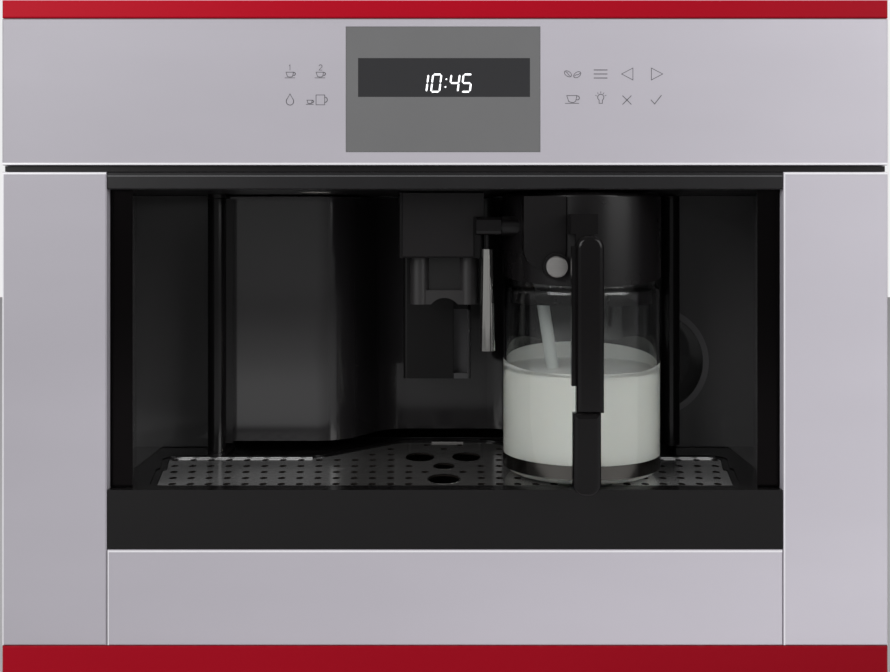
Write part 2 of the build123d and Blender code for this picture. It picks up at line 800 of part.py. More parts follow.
with BuildPart() as jug_lid:
    bar_z(jug_x, jug_depth, lid_bottom, lid_top, lid_radius)
    fillet(faces().sort_by(Axis.Z)[-1].edges(), 3)
    with BuildSketch(at_depth(boss_depth)):
        with Locations((boss_x, (boss_bottom + boss_half_width + boss_top) / 2)):
            Rectangle(2 * boss_half_width, boss_top - boss_bottom - boss_half_width)
        with Locations((boss_x, boss_bottom + boss_half_width)):
            Circle(boss_half_width)
    extrude(amount=boss_depth - 30)
    bar_y(button_x, button_z, button_front + 2, 20, button_housing)
    with BuildSketch(Plane.YZ.offset(jug_x - lid_radius - 1)):
        with BuildLine():
            Polyline(
                (jug_depth - lid_radius, lid_bottom),
                (jug_depth + lid_radius, lid_bottom + lid_bottom_rise),
                (jug_depth + lid_radius + 1, lid_bottom - 1),
                (jug_depth - lid_radius - 1, lid_bottom - 1),
                close=True,
            )
        make_face()
    extrude(amount=2 * lid_radius + 2, mode=Mode.SUBTRACT)
    lid_floor = neck_top + seat
    bar_z(jug_x, jug_depth, lid_bottom, lid_floor, lid_radius - lid_wall, mode=Mode.SUBTRACT)
    bar_z(jug_x, jug_depth, lid_floor + lid_wall, lid_top - lid_wall, lid_radius - 8, mode=Mode.SUBTRACT)
    skirt_radius = neck_radius - jug_wall - skirt_gap
    bar_z(jug_x, jug_depth, skirt_bottom, lid_floor + lid_wall, skirt_radius)
    bar_z(jug_x, jug_depth, skirt_bottom, lid_floor, skirt_radius - skirt_wall, mode=Mode.SUBTRACT)
    stub_origin = Vector(*intake_tip) + Vector(jug_x, jug_depth, 0)
    with BuildSketch(Plane(origin=stub_origin, z_dir=intake_plane.z_dir).offset(intake_path.length - 7)):
        Circle(intake_radius - intake_wall - run)
    extrude(amount=9)
    bar_y(button_x, button_z, button_front, 8, button_radius + 0.3, mode=Mode.SUBTRACT)
    jug_back = jug_depth + lid_radius
    bar_y(jug_x, nozzle_z, jug_back - 12, jug_back + 2, nozzle_radius + 0.4, mode=Mode.SUBTRACT)
    pivot_z = (arm_bottom + arm_top) / 2
    bar_x(arm_depth, pivot_z, 40, jug_x - 45, arm_half_depth + 1)
    bar_x(arm_depth, pivot_z, 39, jug_x - 46, pivot_radius + run, mode=Mode.SUBTRACT)
finish(jug_lid, "jug_lid")


def handle_part(x, y, z, end):
    """Half of the handle, rounded at its lower (0) or upper (1) end."""
    with BuildPart(mode=Mode.PRIVATE) as half:
        with BuildSketch(at_depth(y[0])) as shape:
            with Locations(((x[0] + x[1]) / 2, (z[0] + z[1]) / 2)):
                Rectangle(x[1] - x[0], z[1] - z[0])
            fillet(shape.vertices().group_by(Axis.Y)[-end], 8)
        extrude(amount=y[0] - y[1])
        broad = half.faces().filter_by(Axis.Y).sort_by(Axis.Y)
        fillet(broad[0].edges() + broad[-1].edges(), 3.5)
    return half.part


with BuildPart() as jug_handle:
    grip = (handle_front, handle_front + handle_thickness)
    upper = (handle_x - handle_half_width, handle_x + handle_half_width)
    lower = (upper[0] - 2.2, upper[1] - 1.8)
    add(handle_part(upper, grip, (handle_split, handle_top), 1))
    add(handle_part(lower, (grip[0] + 0.6, grip[1]), (jug_base + 2, handle_split), 0))
    block((upper[0] - 2.6, upper[0] + 1.3), (grip[0] + 6, grip[1]), (handle_split + 17, handle_top - 7))
    block((upper[0], upper[0] + 12), (grip[0] + 6, grip[1]), (handle_top - 14, link_top))
    link = (upper[0] - 3, upper[0] + 14.5)
    link_z = (link_top - link_height, link_top)
    block(link, (grip[0] + 6, jug_depth - lid_radius + 2), link_z)
    bar_z(jug_x, jug_depth, link_z[0], link_z[1], lid_radius + seat, mode=Mode.SUBTRACT)
    band_front = jug_depth - jug_radius - band_thickness - 0.1
    block((lower[0] + 3, lower[1] - 3), (grip[1] - 2, band_front + 4), (band_bottom, band_top))
    bar_z(jug_x, jug_depth, band_bottom - 1, band_top + 1, jug_radius + 0.2 + band_thickness, mode=Mode.SUBTRACT)
finish(jug_handle, "jug_handle")

with BuildPart() as clean_button:
    bar_y(button_x, button_z, button_front - 1, button_front + 5, button_radius)
    chamfer(faces().sort_by(Axis.Y)[0].edges(), 0.8)
finish(clean_button, "clean_button")

# ---------------------------------------------------------------- milk outlet
with BuildPart() as milk_arm:
    depths = (arm_depth - arm_half_depth, arm_depth + arm_half_depth)
    block((arm_left, 39.4), depths, (arm_bottom, arm_top))
    fillet(edges().filter_by(Axis.X), 3)
    bar_z(tube_x, arm_depth, tube_top, arm_bottom, 1.6)
    bar_x(arm_depth, pivot_z, 39.4, jug_x - 47, pivot_radius)
finish(milk_arm, "milk_arm")

with BuildPart() as milk_tube:
    with BuildSketch(Plane.XY.offset(tube_tip)):
        with Locations((tube_x, arm_depth)):
            Circle(tube_tip_radius)
    with BuildSketch(Plane.XY.offset(tube_top)):
        with Locations((tube_x, arm_depth)):
            Circle(tube_top_radius)
    loft()
    bar_z(tube_x, arm_depth, tube_tip, tube_top - 4, 2.4, mode=Mode.SUBTRACT)
finish(milk_tube, "milk_tube")


# ---------------------------------------------------------------- drawer
def grid_outline(grow=0.0):
    """The cup grid's outline: wider at the back, with a bulge behind the outlet."""
    points = []
    radii = []
    for side, turn in ((-1, 1), (1, -1)):
        half = [
            ((grid_front_half, grid_front), 3),
            ((grid_front_half + 8, grid_front + 48.5), 1),
            ((grid_front_half + 5.8, grid_front + 51.5), 1),
            ((grid_back_half, grid_back), 7),
            ((bulge_foot, grid_back), 24),
            ((bulge_half, bulge_back), 18),
        ]
        for (x, depth), radius in half[::turn]:
            points.append((side * x, depth))
            radii.append(radius)
    FilletPolyline(*points, radius=radii, close=True)
    if grow:
        offset(amount=grow)


def grid_face(level, grow=0.0):
    """The grid's outline as a face at this level."""
    with BuildSketch(Plane.XY.offset(level)) as outline:
        with BuildLine():
            grid_outline(grow)
        make_face()
    return outline.sketch


deck_low = deck_top - deck_thickness
with BuildPart() as drawer_shell:
    wall = (-niche_half + gap, niche_half - gap)
    block(wall, (0.5, drawer_wall_depth), (drawer_bottom, deck_top))
    block((-drawer_half_width, drawer_half_width), (drawer_wall_depth, deck_back), (deck_low, deck_top))
    extrude(grid_face(deck_low, -grid_ledge), amount=deck_thickness, mode=Mode.SUBTRACT)
    extrude(grid_face(grid_top - grid_sheet, 0.4), amount=deck_thickness, mode=Mode.SUBTRACT)
    extrude(grid_face(deck_top - 0.7, grid_border), amount=deck_thickness, mode=Mode.SUBTRACT)
finish(drawer_shell, "drawer_shell")

with BuildPart() as cup_grid:
    extrude(grid_face(grid_top - grid_sheet), amount=grid_sheet)
    lip_depth = (grid_back - 1.2, grid_back)
    for side in (-1, 1):
        lip_x = sided(side, bulge_foot + 6, grid_back_half - 6)
        block(lip_x, lip_depth, (grid_top, deck_top - 0.1))
    block(bulge_lip, (bulge_back - 1.2, bulge_back), (grid_top, deck_top - 0.1))
    holes = []
    for depth in hole_rows:
        spread = 1 + hole_spread * (depth - hole_rows[0]) / (hole_rows[-1] - hole_rows[0])
        first = 3 if depth == hole_rows[-1] else 2
        for column in range(first, hole_columns + 1):
            x = column * hole_pitch * spread
            holes += [(-x, depth), (x, depth)]
    for x, depth in ((42.3, 124), (56.8, 124), (43.4, 146)):
        holes += [(-x, depth), (x, depth)]
    holes += [(-14.5, 62), (13, 62), (-0.8, 146.5), (-14.8, 163), (12.3, 163)]
    with BuildSketch(Plane.XY.offset(grid_top - grid_sheet)):
        with Locations(*holes):
            Ellipse(hole_width / 2, hole_length / 2)
        with Locations((-19.4, 115), (16.5, 115)):
            Ellipse(10.9, 16)
        with Locations((-0.8, 39)):
            Ellipse(11, 15)
        with Locations((-0.8, 82)):
            Ellipse(7.5, 10.3)
    extrude(amount=grid_sheet, mode=Mode.SUBTRACT)
finish(cup_grid, "cup_grid")

basin_low = drawer_shelf_top + gap
with BuildPart() as drip_basin:
    basin_top = deck_low - 0.1
    block((-basin_half_width, basin_half_width), (drawer_wall_depth + 0.1, basin_back), (basin_low, basin_top))
    floor = basin_low + basin_wall
    inner_half = basin_half_width - basin_wall
    front_pocket = (drawer_wall_depth + basin_wall, deck_back - basin_wall)
    block((-inner_half, inner_half), front_pocket, (floor, basin_top), mode=Mode.SUBTRACT)
    rear_pocket = (deck_back, basin_back - basin_wall)
    cradle = container_half_width + 2 * seat
    block((-cradle, cradle), rear_pocket, (floor, basin_top), mode=Mode.SUBTRACT)
    for side in (-1, 1):
        pocket_x = sided(side, cradle + basin_wall, inner_half)
        block(pocket_x, rear_pocket, (floor, basin_top), mode=Mode.SUBTRACT)
finish(drip_basin, "drip_basin")

with BuildPart() as grounds_container:
    box_y = (container_front, basin_back - basin_wall - 2 * seat)
    box_z = (floor + seat, container_top)
    block((-container_half_width, container_half_width), box_y, box_z)
    fillet(edges().filter_by(Axis.Z), 8)
    inner_y = (box_y[0] + basin_wall, box_y[1] - basin_wall)
    inner_x = container_half_width - basin_wall
    block((-inner_x, inner_x), inner_y, (box_z[0] + basin_wall, box_z[1]), mode=Mode.SUBTRACT)
finish(grounds_container, "grounds_container")

# ---------------------------------------------------------------- grinder and hopper
motor_top = 235.0
housing_top = 330.0
burr_low = 262.0
with BuildPart() as grinder:
    bar_z(grinder_x, grinder_depth, inner_shelf_top + seat, motor_top, motor_radius)
    bar_z(grinder_x, grinder_depth, motor_top, housing_top, grinder_radius)
    chute_start = grinder_x + grinder_radius - 6
    chute_end = -brew_half_width - seat
    for drop, mode in ((0, Mode.ADD), (2, Mode.SUBTRACT)):
        with BuildSketch(at_depth(grinder_depth - 10 + drop)):
            with BuildLine():
                Polyline(
                    (chute_start - 2 * drop, 290 - drop),
                    (chute_end, 272 - drop),
                    (chute_end, 252 + drop),
                    (chute_start - 2 * drop, 270 + drop),
                    close=True,
                )
            make_face()
        extrude(amount=-20 + 2 * drop, mode=mode)
    bar_z(grinder_x, grinder_depth, burr_low, housing_top - 8, burr_chamber_radius, mode=Mode.SUBTRACT)
    bar_z(grinder_x, grinder_depth, housing_top - 8, housing_top, hopper_neck_radius - 2, mode=Mode.SUBTRACT)
    bar_z(grinder_x, grinder_depth, motor_top - 40, burr_low, burr_shaft_radius + run, mode=Mode.SUBTRACT)
finish(grinder, "grinder")

with BuildPart() as grinder_burr:
    bar_z(grinder_x, grinder_depth, motor_top - 39, burr_low + 4, burr_shaft_radius)
    with BuildSketch(Plane.XY.offset(burr_low + 3)):
        with Locations((grinder_x, grinder_depth)):
            Circle(burr_radius)
    with BuildSketch(Plane.XY.offset(burr_low + 34)):
        with Locations((grinder_x, grinder_depth)):
            Circle(burr_radius - 12)
    loft()
    for turn in range(8):
        groove = Location((grinder_x, grinder_depth, burr_low + 20), (0, 0, 45 * turn))
        with Locations(groove):
            with Locations((burr_radius - 5, 0, 0)):
                Box(5, 2.4, 20, rotation=(0, -21, 0), mode=Mode.SUBTRACT)
finish(grinder_burr, "grinder_burr")


def hopper_shape(shrink, low, high, mode):
    """A square funnel that narrows to the grinder's mouth."""
    bend = body_top - hopper_bend_drop
    half = hopper_half - shrink
    with BuildSketch(Plane.XY.offset(low)) as mouth:
        with Locations((grinder_x, grinder_depth)):
            Rectangle(2 * (hopper_neck_radius - shrink), 2 * (hopper_neck_radius - shrink))
    with BuildSketch(Plane.XY.offset(bend)) as box:
        with Locations((grinder_x, grinder_depth)):
            Rectangle(2 * half, 2 * half)
    loft([mouth.sketch, box.sketch], mode=mode)
    extrude(box.sketch, amount=high - bend, mode=mode)


hinge_z = body_top + 5.4
hopper_hinge = grinder_depth + hopper_half + 10
with BuildPart() as bean_hopper:
    hopper_shape(0, housing_top + seat, body_top, Mode.ADD)
    rim = hopper_half + 6
    with BuildSketch(Plane.XY.offset(body_top)):
        with Locations((grinder_x, grinder_depth)):
            Rectangle(2 * rim, 2 * rim)
    extrude(amount=1.5)
    hopper_shape(hopper_wall, housing_top + seat, body_top + 1.5, Mode.SUBTRACT)
    web_z = (web_low, web_low + 8)
    block((grinder_x - 25, grinder_x + 25), (grinder_depth - 2, grinder_depth + 2), web_z)
    bar_z(grinder_x, grinder_depth, web_z[0], web_z[1], knob_shaft_radius + 4)
    bar_z(grinder_x, grinder_depth, web_z[0], web_z[1], knob_shaft_radius + run, mode=Mode.SUBTRACT)
    for side in (-1, 1):
        ear_x = (grinder_x + side * 50 - 3, grinder_x + side * 50 + 3)
        block(ear_x, (hopper_hinge - 5, hopper_hinge + 4), (body_top, hinge_z + 3))
        pin_end = grinder_x + side * 38
        bar_x(hopper_hinge, hinge_z, min(pin_end, ear_x[0]), max(pin_end, ear_x[1]), lid_pin_radius)
finish(bean_hopper, "bean_hopper")


def lid_knuckle(centre, side, hinge, level, front):
    """One hinge knuckle of a lid, with the arm that joins it to the plate."""
    knuckle = (centre + side * 42 - 4, centre + side * 42 + 4)
    block(knuckle, (front, hinge), (level - lid_knuckle_radius, level - lid_knuckle_radius + 2))
    bar_x(hinge, level, knuckle[0], knuckle[1], lid_knuckle_radius)
    bar_x(hinge, level, knuckle[0], knuckle[1], lid_pin_radius + run, mode=Mode.SUBTRACT)


with BuildPart() as bean_lid:
    plate_low = body_top + 1.8
    rim = hopper_half + 4
    block((grinder_x - rim, grinder_x + rim), (grinder_depth - rim, grinder_depth + rim), (plate_low, plate_low + 2.5))
    fillet(edges().filter_by(Axis.Z), 5)
    for side in (-1, 1):
        lid_knuckle(grinder_x, side, hopper_hinge, hinge_z, grinder_depth + rim - 3)
finish(bean_lid, "bean_lid")

with BuildPart() as grind_knob:
    knob_top = body_top - knob_drop
    knob_low = knob_top - knob_height
    bar_z(grinder_x, grinder_depth, web_low - 3, knob_low, knob_shaft_radius)
    bar_z(grinder_x, grinder_depth, web_low + 8.3, web_low + 11, knob_shaft_radius + 3)
    bar_z(grinder_x, grinder_depth, knob_low, knob_top, knob_radius)
    fillet(faces().sort_by(Axis.Z)[-1].edges(), 2)
    block((grinder_x - 1.5, grinder_x + 1.5), (grinder_depth - knob_radius, grinder_depth), (knob_top, knob_top + 2))
finish(grind_knob, "grind_knob")

# ---------------------------------------------------------------- brew unit
brew_low = inner_shelf_top + seat
guide_ring = (200.0, 206.0)
with BuildPart() as brew_frame:
    block((-brew_half_width, brew_half_width), (brew_front, brew_back), (brew_low, brew_low + 4))
    block((-brew_half_width, brew_half_width), (brew_front, brew_back), (brew_top - 4, brew_top))
    for side in (-1, 1):
        wall_x = sided(side, brew_half_width - brew_wall, brew_half_width)
        block(wall_x, (brew_front, brew_back), (brew_low, brew_top))
    block((-brew_half_width, brew_half_width), (chamber_depth - 30, chamber_depth + 30), guide_ring)
    bar_z(0, chamber_depth, guide_ring[0], 262, chamber_radius + brew_wall)
    bar_z(0, chamber_depth, 274, brew_top, chamber_radius - 0.5)
    bar_z(0, chamber_depth, guide_ring[0] - 1, 262, chamber_radius, mode=Mode.SUBTRACT)
    wall_x = (-brew_half_width, -brew_half_width + brew_wall)
    block(wall_x, (chamber_depth - 8, chamber_depth + 8), (254, 270), mode=Mode.SUBTRACT)
    bar_z(0, spindle_depth, brew_low, brew_low + 4, spindle_radius + run, mode=Mode.SUBTRACT)
    bar_z(0, spindle_depth, brew_top - 4, brew_top, spindle_radius + run, mode=Mode.SUBTRACT)
    window = (-brew_half_width + 14, brew_half_width - 14)
    block(window, (brew_front + 8, chamber_depth + 26), (brew_low, brew_low + 4), mode=Mode.SUBTRACT)
finish(brew_frame, "brew_frame")

with BuildPart() as brew_piston:
    bar_z(0, chamber_depth, 207, 216, chamber_radius - 0.3)
    bar_z(0, chamber_depth, 160, 207, 6)
    block((-8, 8), (chamber_depth, spindle_depth + 9), (158, 168))
    bar_z(0, spindle_depth, 158, 168, spindle_radius + 0.3, mode=Mode.SUBTRACT)
finish(brew_piston, "brew_piston")

with BuildPart() as brew_spindle:
    bar_z(0, spindle_depth, brew_low + 0.3, brew_top - 0.3, spindle_radius)
    bar_z(0, spindle_depth, brew_low + 4.5, brew_low + 9, 14)
finish(brew_spindle, "brew_spindle")

# ---------------------------------------------------------------- water
with BuildPart() as water_tank:
    block((tank_left, tank_right), (tank_front, tank_back), (tank_bottom, tank_top))
    fillet(edges().filter_by(Axis.Z), 8)
    inner_x = (tank_left + tank_wall, tank_right - tank_wall)
    inner_y = (tank_front + tank_wall, tank_back - tank_wall - 8)
    block(inner_x, inner_y, (tank_bottom + tank_wall, tank_top), mode=Mode.SUBTRACT)
    tank_mid = (tank_left + tank_right) / 2
    tank_hinge = tank_back - 5
    tank_hinge_z = tank_top + 4.5
    for side in (-1, 1):
        ear_x = (tank_mid + side * 34 - 2, tank_mid + side * 34 + 2)
        block(ear_x, (tank_hinge - 3, tank_hinge + 3), (tank_top, tank_hinge_z + 3))
    bar_x(tank_hinge, tank_hinge_z, tank_mid - 36, tank_mid + 36, lid_pin_radius)
finish(water_tank, "water_tank")

with BuildPart() as tank_lid:
    plate_z = (tank_top + 0.3, tank_top + 2.8)
    block((tank_left + 1, tank_right - 1), (tank_front, tank_hinge - 7), plate_z)
    fillet(edges().filter_by(Axis.Z), 6)
    block((tank_mid - 20, tank_mid + 20), (tank_hinge - 9, tank_hinge), (plate_z[0] + 0.9, plate_z[1] + 0.2))
    bar_x(tank_hinge, tank_hinge_z, tank_mid - 20, tank_mid + 20, lid_knuckle_radius - 0.3)
    bar_x(tank_hinge, tank_hinge_z, tank_mid - 20, tank_mid + 20, lid_pin_radius + run, mode=Mode.SUBTRACT)
    block((tank_mid - 15, tank_mid + 15), (tank_front + 6, tank_front + 12), (plate_z[1], plate_z[1] + 3))
finish(tank_lid, "tank_lid")

pump_z = inner_shelf_top + 27
pump_ends = (200.0, 278.0)
with BuildPart() as water_pump:
    bar_y(pump_x, pump_z, pump_ends[0], pump_ends[1], pump_radius)
    bar_y(pump_x, pump_z, pump_ends[0] + 16, pump_ends[1] - 20, pump_radius + 3)
    saddle = (pump_x - 16, pump_x + 16)
    block(saddle, (pump_ends[0] + 22, pump_ends[1] - 26), (inner_shelf_top + seat, pump_z))
finish(water_pump, "water_pump")

heater_x = (75.0, 145.0)
heater_y = (205.0, 285.0)
with BuildPart() as thermoblock:
    block(heater_x, heater_y, (inner_shelf_top + 14, inner_shelf_top + 100))
    fillet(edges().filter_by(Axis.Z), 6)
    for x in (heater_x[0] + 10, heater_x[1] - 10):
        for depth in (heater_y[0] + 10, heater_y[1] - 10):
            bar_z(x, depth, inner_shelf_top + seat, inner_shelf_top + 14, 4)
    for fin in range(5):
        level = inner_shelf_top + 22 + 13 * fin
        block((heater_x[0] - 1, heater_x[0] + 3), heater_y, (level, level + 5), mode=Mode.SUBTRACT)
finish(thermoblock, "thermoblock")

with BuildPart() as hoses:
    bar_y(pump_x, pump_z, pump_ends[1], tank_front - gap, hose_radius)
    bar_x(chamber_depth, pump_z, heater_x[1], pump_x - pump_radius - 3, hose_radius)
    bar_x(chamber_depth, inner_shelf_top + 90, brew_half_width, heater_x[0], hose_radius)
finish(hoses, "hoses")

# ---------------------------------------------------------------- mains
with BuildPart() as power_inlet:
    flange_x = (inlet_x - inlet_width / 2 - 6, switch_x + switch_width / 2 + 6)
    flange_z = (inlet_z - inlet_height / 2 - 5, inlet_z + inlet_height / 2 + 5)
    block(flange_x, (body_back, machine_back), flange_z)
    fillet(edges().filter_by(Axis.Y), 4)
    body_x = (inlet_x - inlet_width / 2, switch_x + switch_width / 2)
    body_z = (inlet_z - inlet_height / 2, inlet_z + inlet_height / 2)
    block(body_x, (372, body_back), body_z)
    socket = (inlet_x - 12, inlet_x + 12)
    block(socket, (381, machine_back), (inlet_z - 8, inlet_z + 8), mode=Mode.SUBTRACT)
    for x, level in ((inlet_x - 7, inlet_z - 2), (inlet_x, inlet_z + 2), (inlet_x + 7, inlet_z - 2)):
        block((x - 1, x + 1), (381, 395), (level - 2, level + 2))
    rocker_x = (switch_x - 13, switch_x + 13)
    block(rocker_x, (378, machine_back), (inlet_z - 10, inlet_z + 10), mode=Mode.SUBTRACT)
    bar_x(rocker_depth, inlet_z, rocker_x[0] - 1, rocker_x[1] + 1, rocker_pin)
finish(power_inlet, "power_inlet")

switch_tilt = 7.0
with BuildPart() as power_switch:
    with BuildSketch(Plane.YZ.offset(-12.4)):
        with BuildLine():
            Polyline((-7, -5), (6.5, -8.6), (8.6, -8.4), (7, 0), (8.6, 8.4), (6.5, 8.6), (-7, 5), close=True)
        make_face()
        Circle(rocker_pin + run, mode=Mode.SUBTRACT)
    extrude(amount=24.8)
power_switch.part = power_switch.part.moved(Location((switch_x, rocker_depth, inlet_z), (switch_tilt, 0, 0)))
finish(power_switch, "power_switch")

# ---------------------------------------------------------------- writing
os.makedirs("parts", exist_ok=True)
to_origin = Location((0, -origin_depth, 0))
for piece in pieces:
    placed = piece.moved(to_origin)
    placed.label = piece.label
    export_step(placed, f"parts/{piece.label}.step")
print(len(pieces), "pieces written")
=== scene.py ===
import json
import math

import bmesh
import bpy
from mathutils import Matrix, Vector


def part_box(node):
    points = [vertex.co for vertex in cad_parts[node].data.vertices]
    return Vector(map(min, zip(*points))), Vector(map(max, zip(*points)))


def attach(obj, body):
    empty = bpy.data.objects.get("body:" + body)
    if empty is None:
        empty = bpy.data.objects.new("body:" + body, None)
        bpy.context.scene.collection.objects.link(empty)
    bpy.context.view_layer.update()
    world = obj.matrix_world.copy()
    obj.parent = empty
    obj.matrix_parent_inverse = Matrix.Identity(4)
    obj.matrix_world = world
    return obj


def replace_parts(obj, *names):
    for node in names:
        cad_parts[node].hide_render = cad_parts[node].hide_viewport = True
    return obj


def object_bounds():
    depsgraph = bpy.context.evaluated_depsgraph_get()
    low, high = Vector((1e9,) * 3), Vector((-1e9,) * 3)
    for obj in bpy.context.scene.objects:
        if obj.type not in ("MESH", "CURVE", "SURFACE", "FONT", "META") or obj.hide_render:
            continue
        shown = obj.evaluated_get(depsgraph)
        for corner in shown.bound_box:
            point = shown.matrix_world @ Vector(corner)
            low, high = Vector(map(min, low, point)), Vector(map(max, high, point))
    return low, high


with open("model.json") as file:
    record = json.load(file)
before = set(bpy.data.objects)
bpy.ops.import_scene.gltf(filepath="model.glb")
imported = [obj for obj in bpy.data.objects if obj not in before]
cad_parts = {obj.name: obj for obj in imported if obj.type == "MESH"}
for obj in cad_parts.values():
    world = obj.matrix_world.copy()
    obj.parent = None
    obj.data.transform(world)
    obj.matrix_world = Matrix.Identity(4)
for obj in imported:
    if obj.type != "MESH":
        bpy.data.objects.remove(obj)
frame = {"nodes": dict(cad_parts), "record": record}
cad_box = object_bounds()

scene = bpy.context.scene
scene.view_settings.view_transform = "Standard"

MM = 0.001
FRONT = -0.185  # where the plane of the front panels lies on the row frame's Y
EYE_DISTANCE = 0.750  # from the camera to that plane
EYE_HEIGHT = 0.3012
SENSOR_WIDTH = 36.0
FRAME_WIDTH = 890.0  # in pixels, as are the next two
FOCAL_LENGTH = 1116.75
FRAME_SHIFT = -107.0
LAMP_SIZE = 1.5
LAMPS = (  # name, place, aim, power
    ("left", (-1.5, -1.9, 1.3), (0, 0, 0.25), 38),
    ("right", (1.7, -1.6, 1.1), (0.1, 0, 0.25), 28),
)
WORLD_SHADE, WORLD_STRENGTH = 0.9, 0.33
BACKDROP = (0.86, 0.86, 0.87, 1)


def at(x, depth, z):
    """A point given as the maker does: millimetres, with the depth behind the front panels."""
    return Vector((x * MM, FRONT + depth * MM, z * MM))


# ---------------------------------------------------------------- camera, floor and light
def make_camera():
    """A level camera straight in front, shifted to frame the whole front."""
    lens = bpy.data.cameras.new("camera")
    lens.sensor_width = SENSOR_WIDTH
    lens.lens = SENSOR_WIDTH * FOCAL_LENGTH / FRAME_WIDTH
    lens.shift_y = FRAME_SHIFT / FRAME_WIDTH
    lens.clip_start = 0.02
    camera = bpy.data.objects.new("camera", lens)
    camera.location = (0.0, FRONT - EYE_DISTANCE, EYE_HEIGHT)
    camera.rotation_euler = (math.radians(90.0), 0.0, 0.0)
    scene.collection.objects.link(camera)
    scene.camera = camera


def soft_lamp(name, place, aim, power):
    """A large square lamp that looks at a point."""
    light = bpy.data.lights.new(name, "AREA")
    light.shape = "RECTANGLE"
    light.size = light.size_y = LAMP_SIZE
    light.energy = power
    lamp = bpy.data.objects.new(name, light)
    lamp.location = place
    lamp.rotation_euler = (Vector(aim) - Vector(place)).to_track_quat("-Z", "Y").to_euler()
    scene.collection.objects.link(lamp)


def make_world():
    """Even soft light all round, with a pale backdrop that only the camera sees."""
    world = bpy.data.worlds.new("studio")
    world.use_nodes = True
    nodes, links = world.node_tree.nodes, world.node_tree.links
    light = nodes["Background"]
    light.inputs["Color"].default_value = (WORLD_SHADE, WORLD_SHADE, WORLD_SHADE, 1)
    light.inputs["Strength"].default_value = WORLD_STRENGTH
    pale = nodes.new("ShaderNodeBackground")
    pale.inputs["Color"].default_value = BACKDROP
    pale.inputs["Strength"].default_value = 1.0
    path = nodes.new("ShaderNodeLightPath")
    mix = nodes.new("ShaderNodeMixShader")
    links.new(path.outputs["Is Camera Ray"], mix.inputs[0])
    links.new(light.outputs[0], mix.inputs[1])
    links.new(pale.outputs[0], mix.inputs[2])
    links.new(mix.outputs[0], nodes["World Output"].inputs["Surface"])
    scene.world = world


# ---------------------------------------------------------------- shader groups
class Shader:
    """A short way to place and join the nodes of one tree."""

    def __init__(self, tree):
        self.tree = tree

    def node(self, kind, **settings):
        made = self.tree.nodes.new("ShaderNode" + kind)
        for name, value in settings.items():
            setattr(made, name, value)
        return made

    def join(self, source, target):
        if isinstance(source, (int, float)):
            target.default_value = source
        elif isinstance(source, tuple):
            target.default_value = source if len(target.default_value) == len(source) else (*source, 1.0)
        else:
            self.tree.links.new(source, target)

    def maths(self, operation, first, second=0.0, third=0.0, clamp=False):
        made = self.node("Math", operation=operation, use_clamp=clamp)
        for socket, value in zip(made.inputs, (first, second, third)):
            self.join(value, socket)
        return made.outputs[0]

    def blend(self, factor, first, second):
        """Mixes two colours."""
        made = self.node("Mix", data_type="RGBA")
        self.join(factor, made.inputs[0])
        self.join(first, made.inputs[6])
        self.join(second, made.inputs[7])
        return made.outputs[2]

    def span(self, value, low, high, start=0.0, end=1.0):
        """Maps a value's span from low to high onto start to end, and no further."""
        made = self.node("MapRange", clamp=True)
        for socket, number in zip(made.inputs, (value, low, high, start, end)):
            self.join(number, socket)
        return made.outputs[0]

    def noise(self, place, scale, detail=3.0, roughness=0.5):
        made = self.node("TexNoise")
        self.join(place, made.inputs["Vector"])
        self.join(scale, made.inputs["Scale"])
        made.inputs["Detail"].default_value = detail
        made.inputs["Roughness"].default_value = roughness
        return made.outputs["Fac"]

    def axes(self, vector):
        """The X, Y and Z of a vector."""
        split = self.node("SeparateXYZ")
        self.join(vector, split.inputs[0])
        return split.outputs

    def facing(self):
        """The X, Y and Z of the way the surface faces."""
        return self.axes(self.node("NewGeometry").outputs["Normal"])

    def stretched(self, place, scale):
        """The place with a pattern's scale for each axis."""
        made = self.node("Mapping")
        self.join(place, made.inputs["Vector"])
        made.inputs["Scale"].default_value = scale
        return made.outputs["Vector"]


def new_group(name, inputs, outputs):
    """An empty node group, with its tree helper, inputs and outputs."""
    tree = bpy.data.node_groups.new(name, "ShaderNodeTree")
    for label, kind, value in inputs:
        socket = tree.interface.new_socket(label, in_out="INPUT", socket_type="NodeSocket" + kind)
        if value is not None:
            socket.default_value = value
    for label, kind in outputs:
        tree.interface.new_socket(label, in_out="OUTPUT", socket_type="NodeSocket" + kind)
    shader = Shader(tree)
    start = tree.nodes.new("NodeGroupInput")
    end = tree.nodes.new("NodeGroupOutput")
    return tree, shader, start.outputs, end.inputs


def moulded_grain():
    """Fine leather-like texture of moulded plastic, and soft uneven gloss."""
    tree, sh, given, out = new_group(
        "moulded_grain",
        [("Place", "Vector", None), ("Grain", "Float", 1400.0), ("Roughness", "Float", 0.4),
         ("Unevenness", "Float", 0.1)],
        [("Height", "Float"), ("Roughness", "Float"), ("Shade", "Float")],
    )
    fine = sh.noise(given["Place"], given["Grain"], 2.0)
    broad = sh.noise(given["Place"], 9.0, 3.0)
    patches = sh.noise(given["Place"], 38.0, 4.0, 0.6)
    mixed = sh.maths("ADD", sh.maths("MULTIPLY", broad, 0.6), sh.maths("MULTIPLY", patches, 0.4))
    swing = sh.maths("MULTIPLY", sh.maths("SUBTRACT", mixed, 0.5), given["Unevenness"])
    sh.join(fine, out["Height"])
    sh.join(sh.maths("ADD", given["Roughness"], swing, clamp=True), out["Roughness"])
    sh.join(mixed, out["Shade"])
    return tree


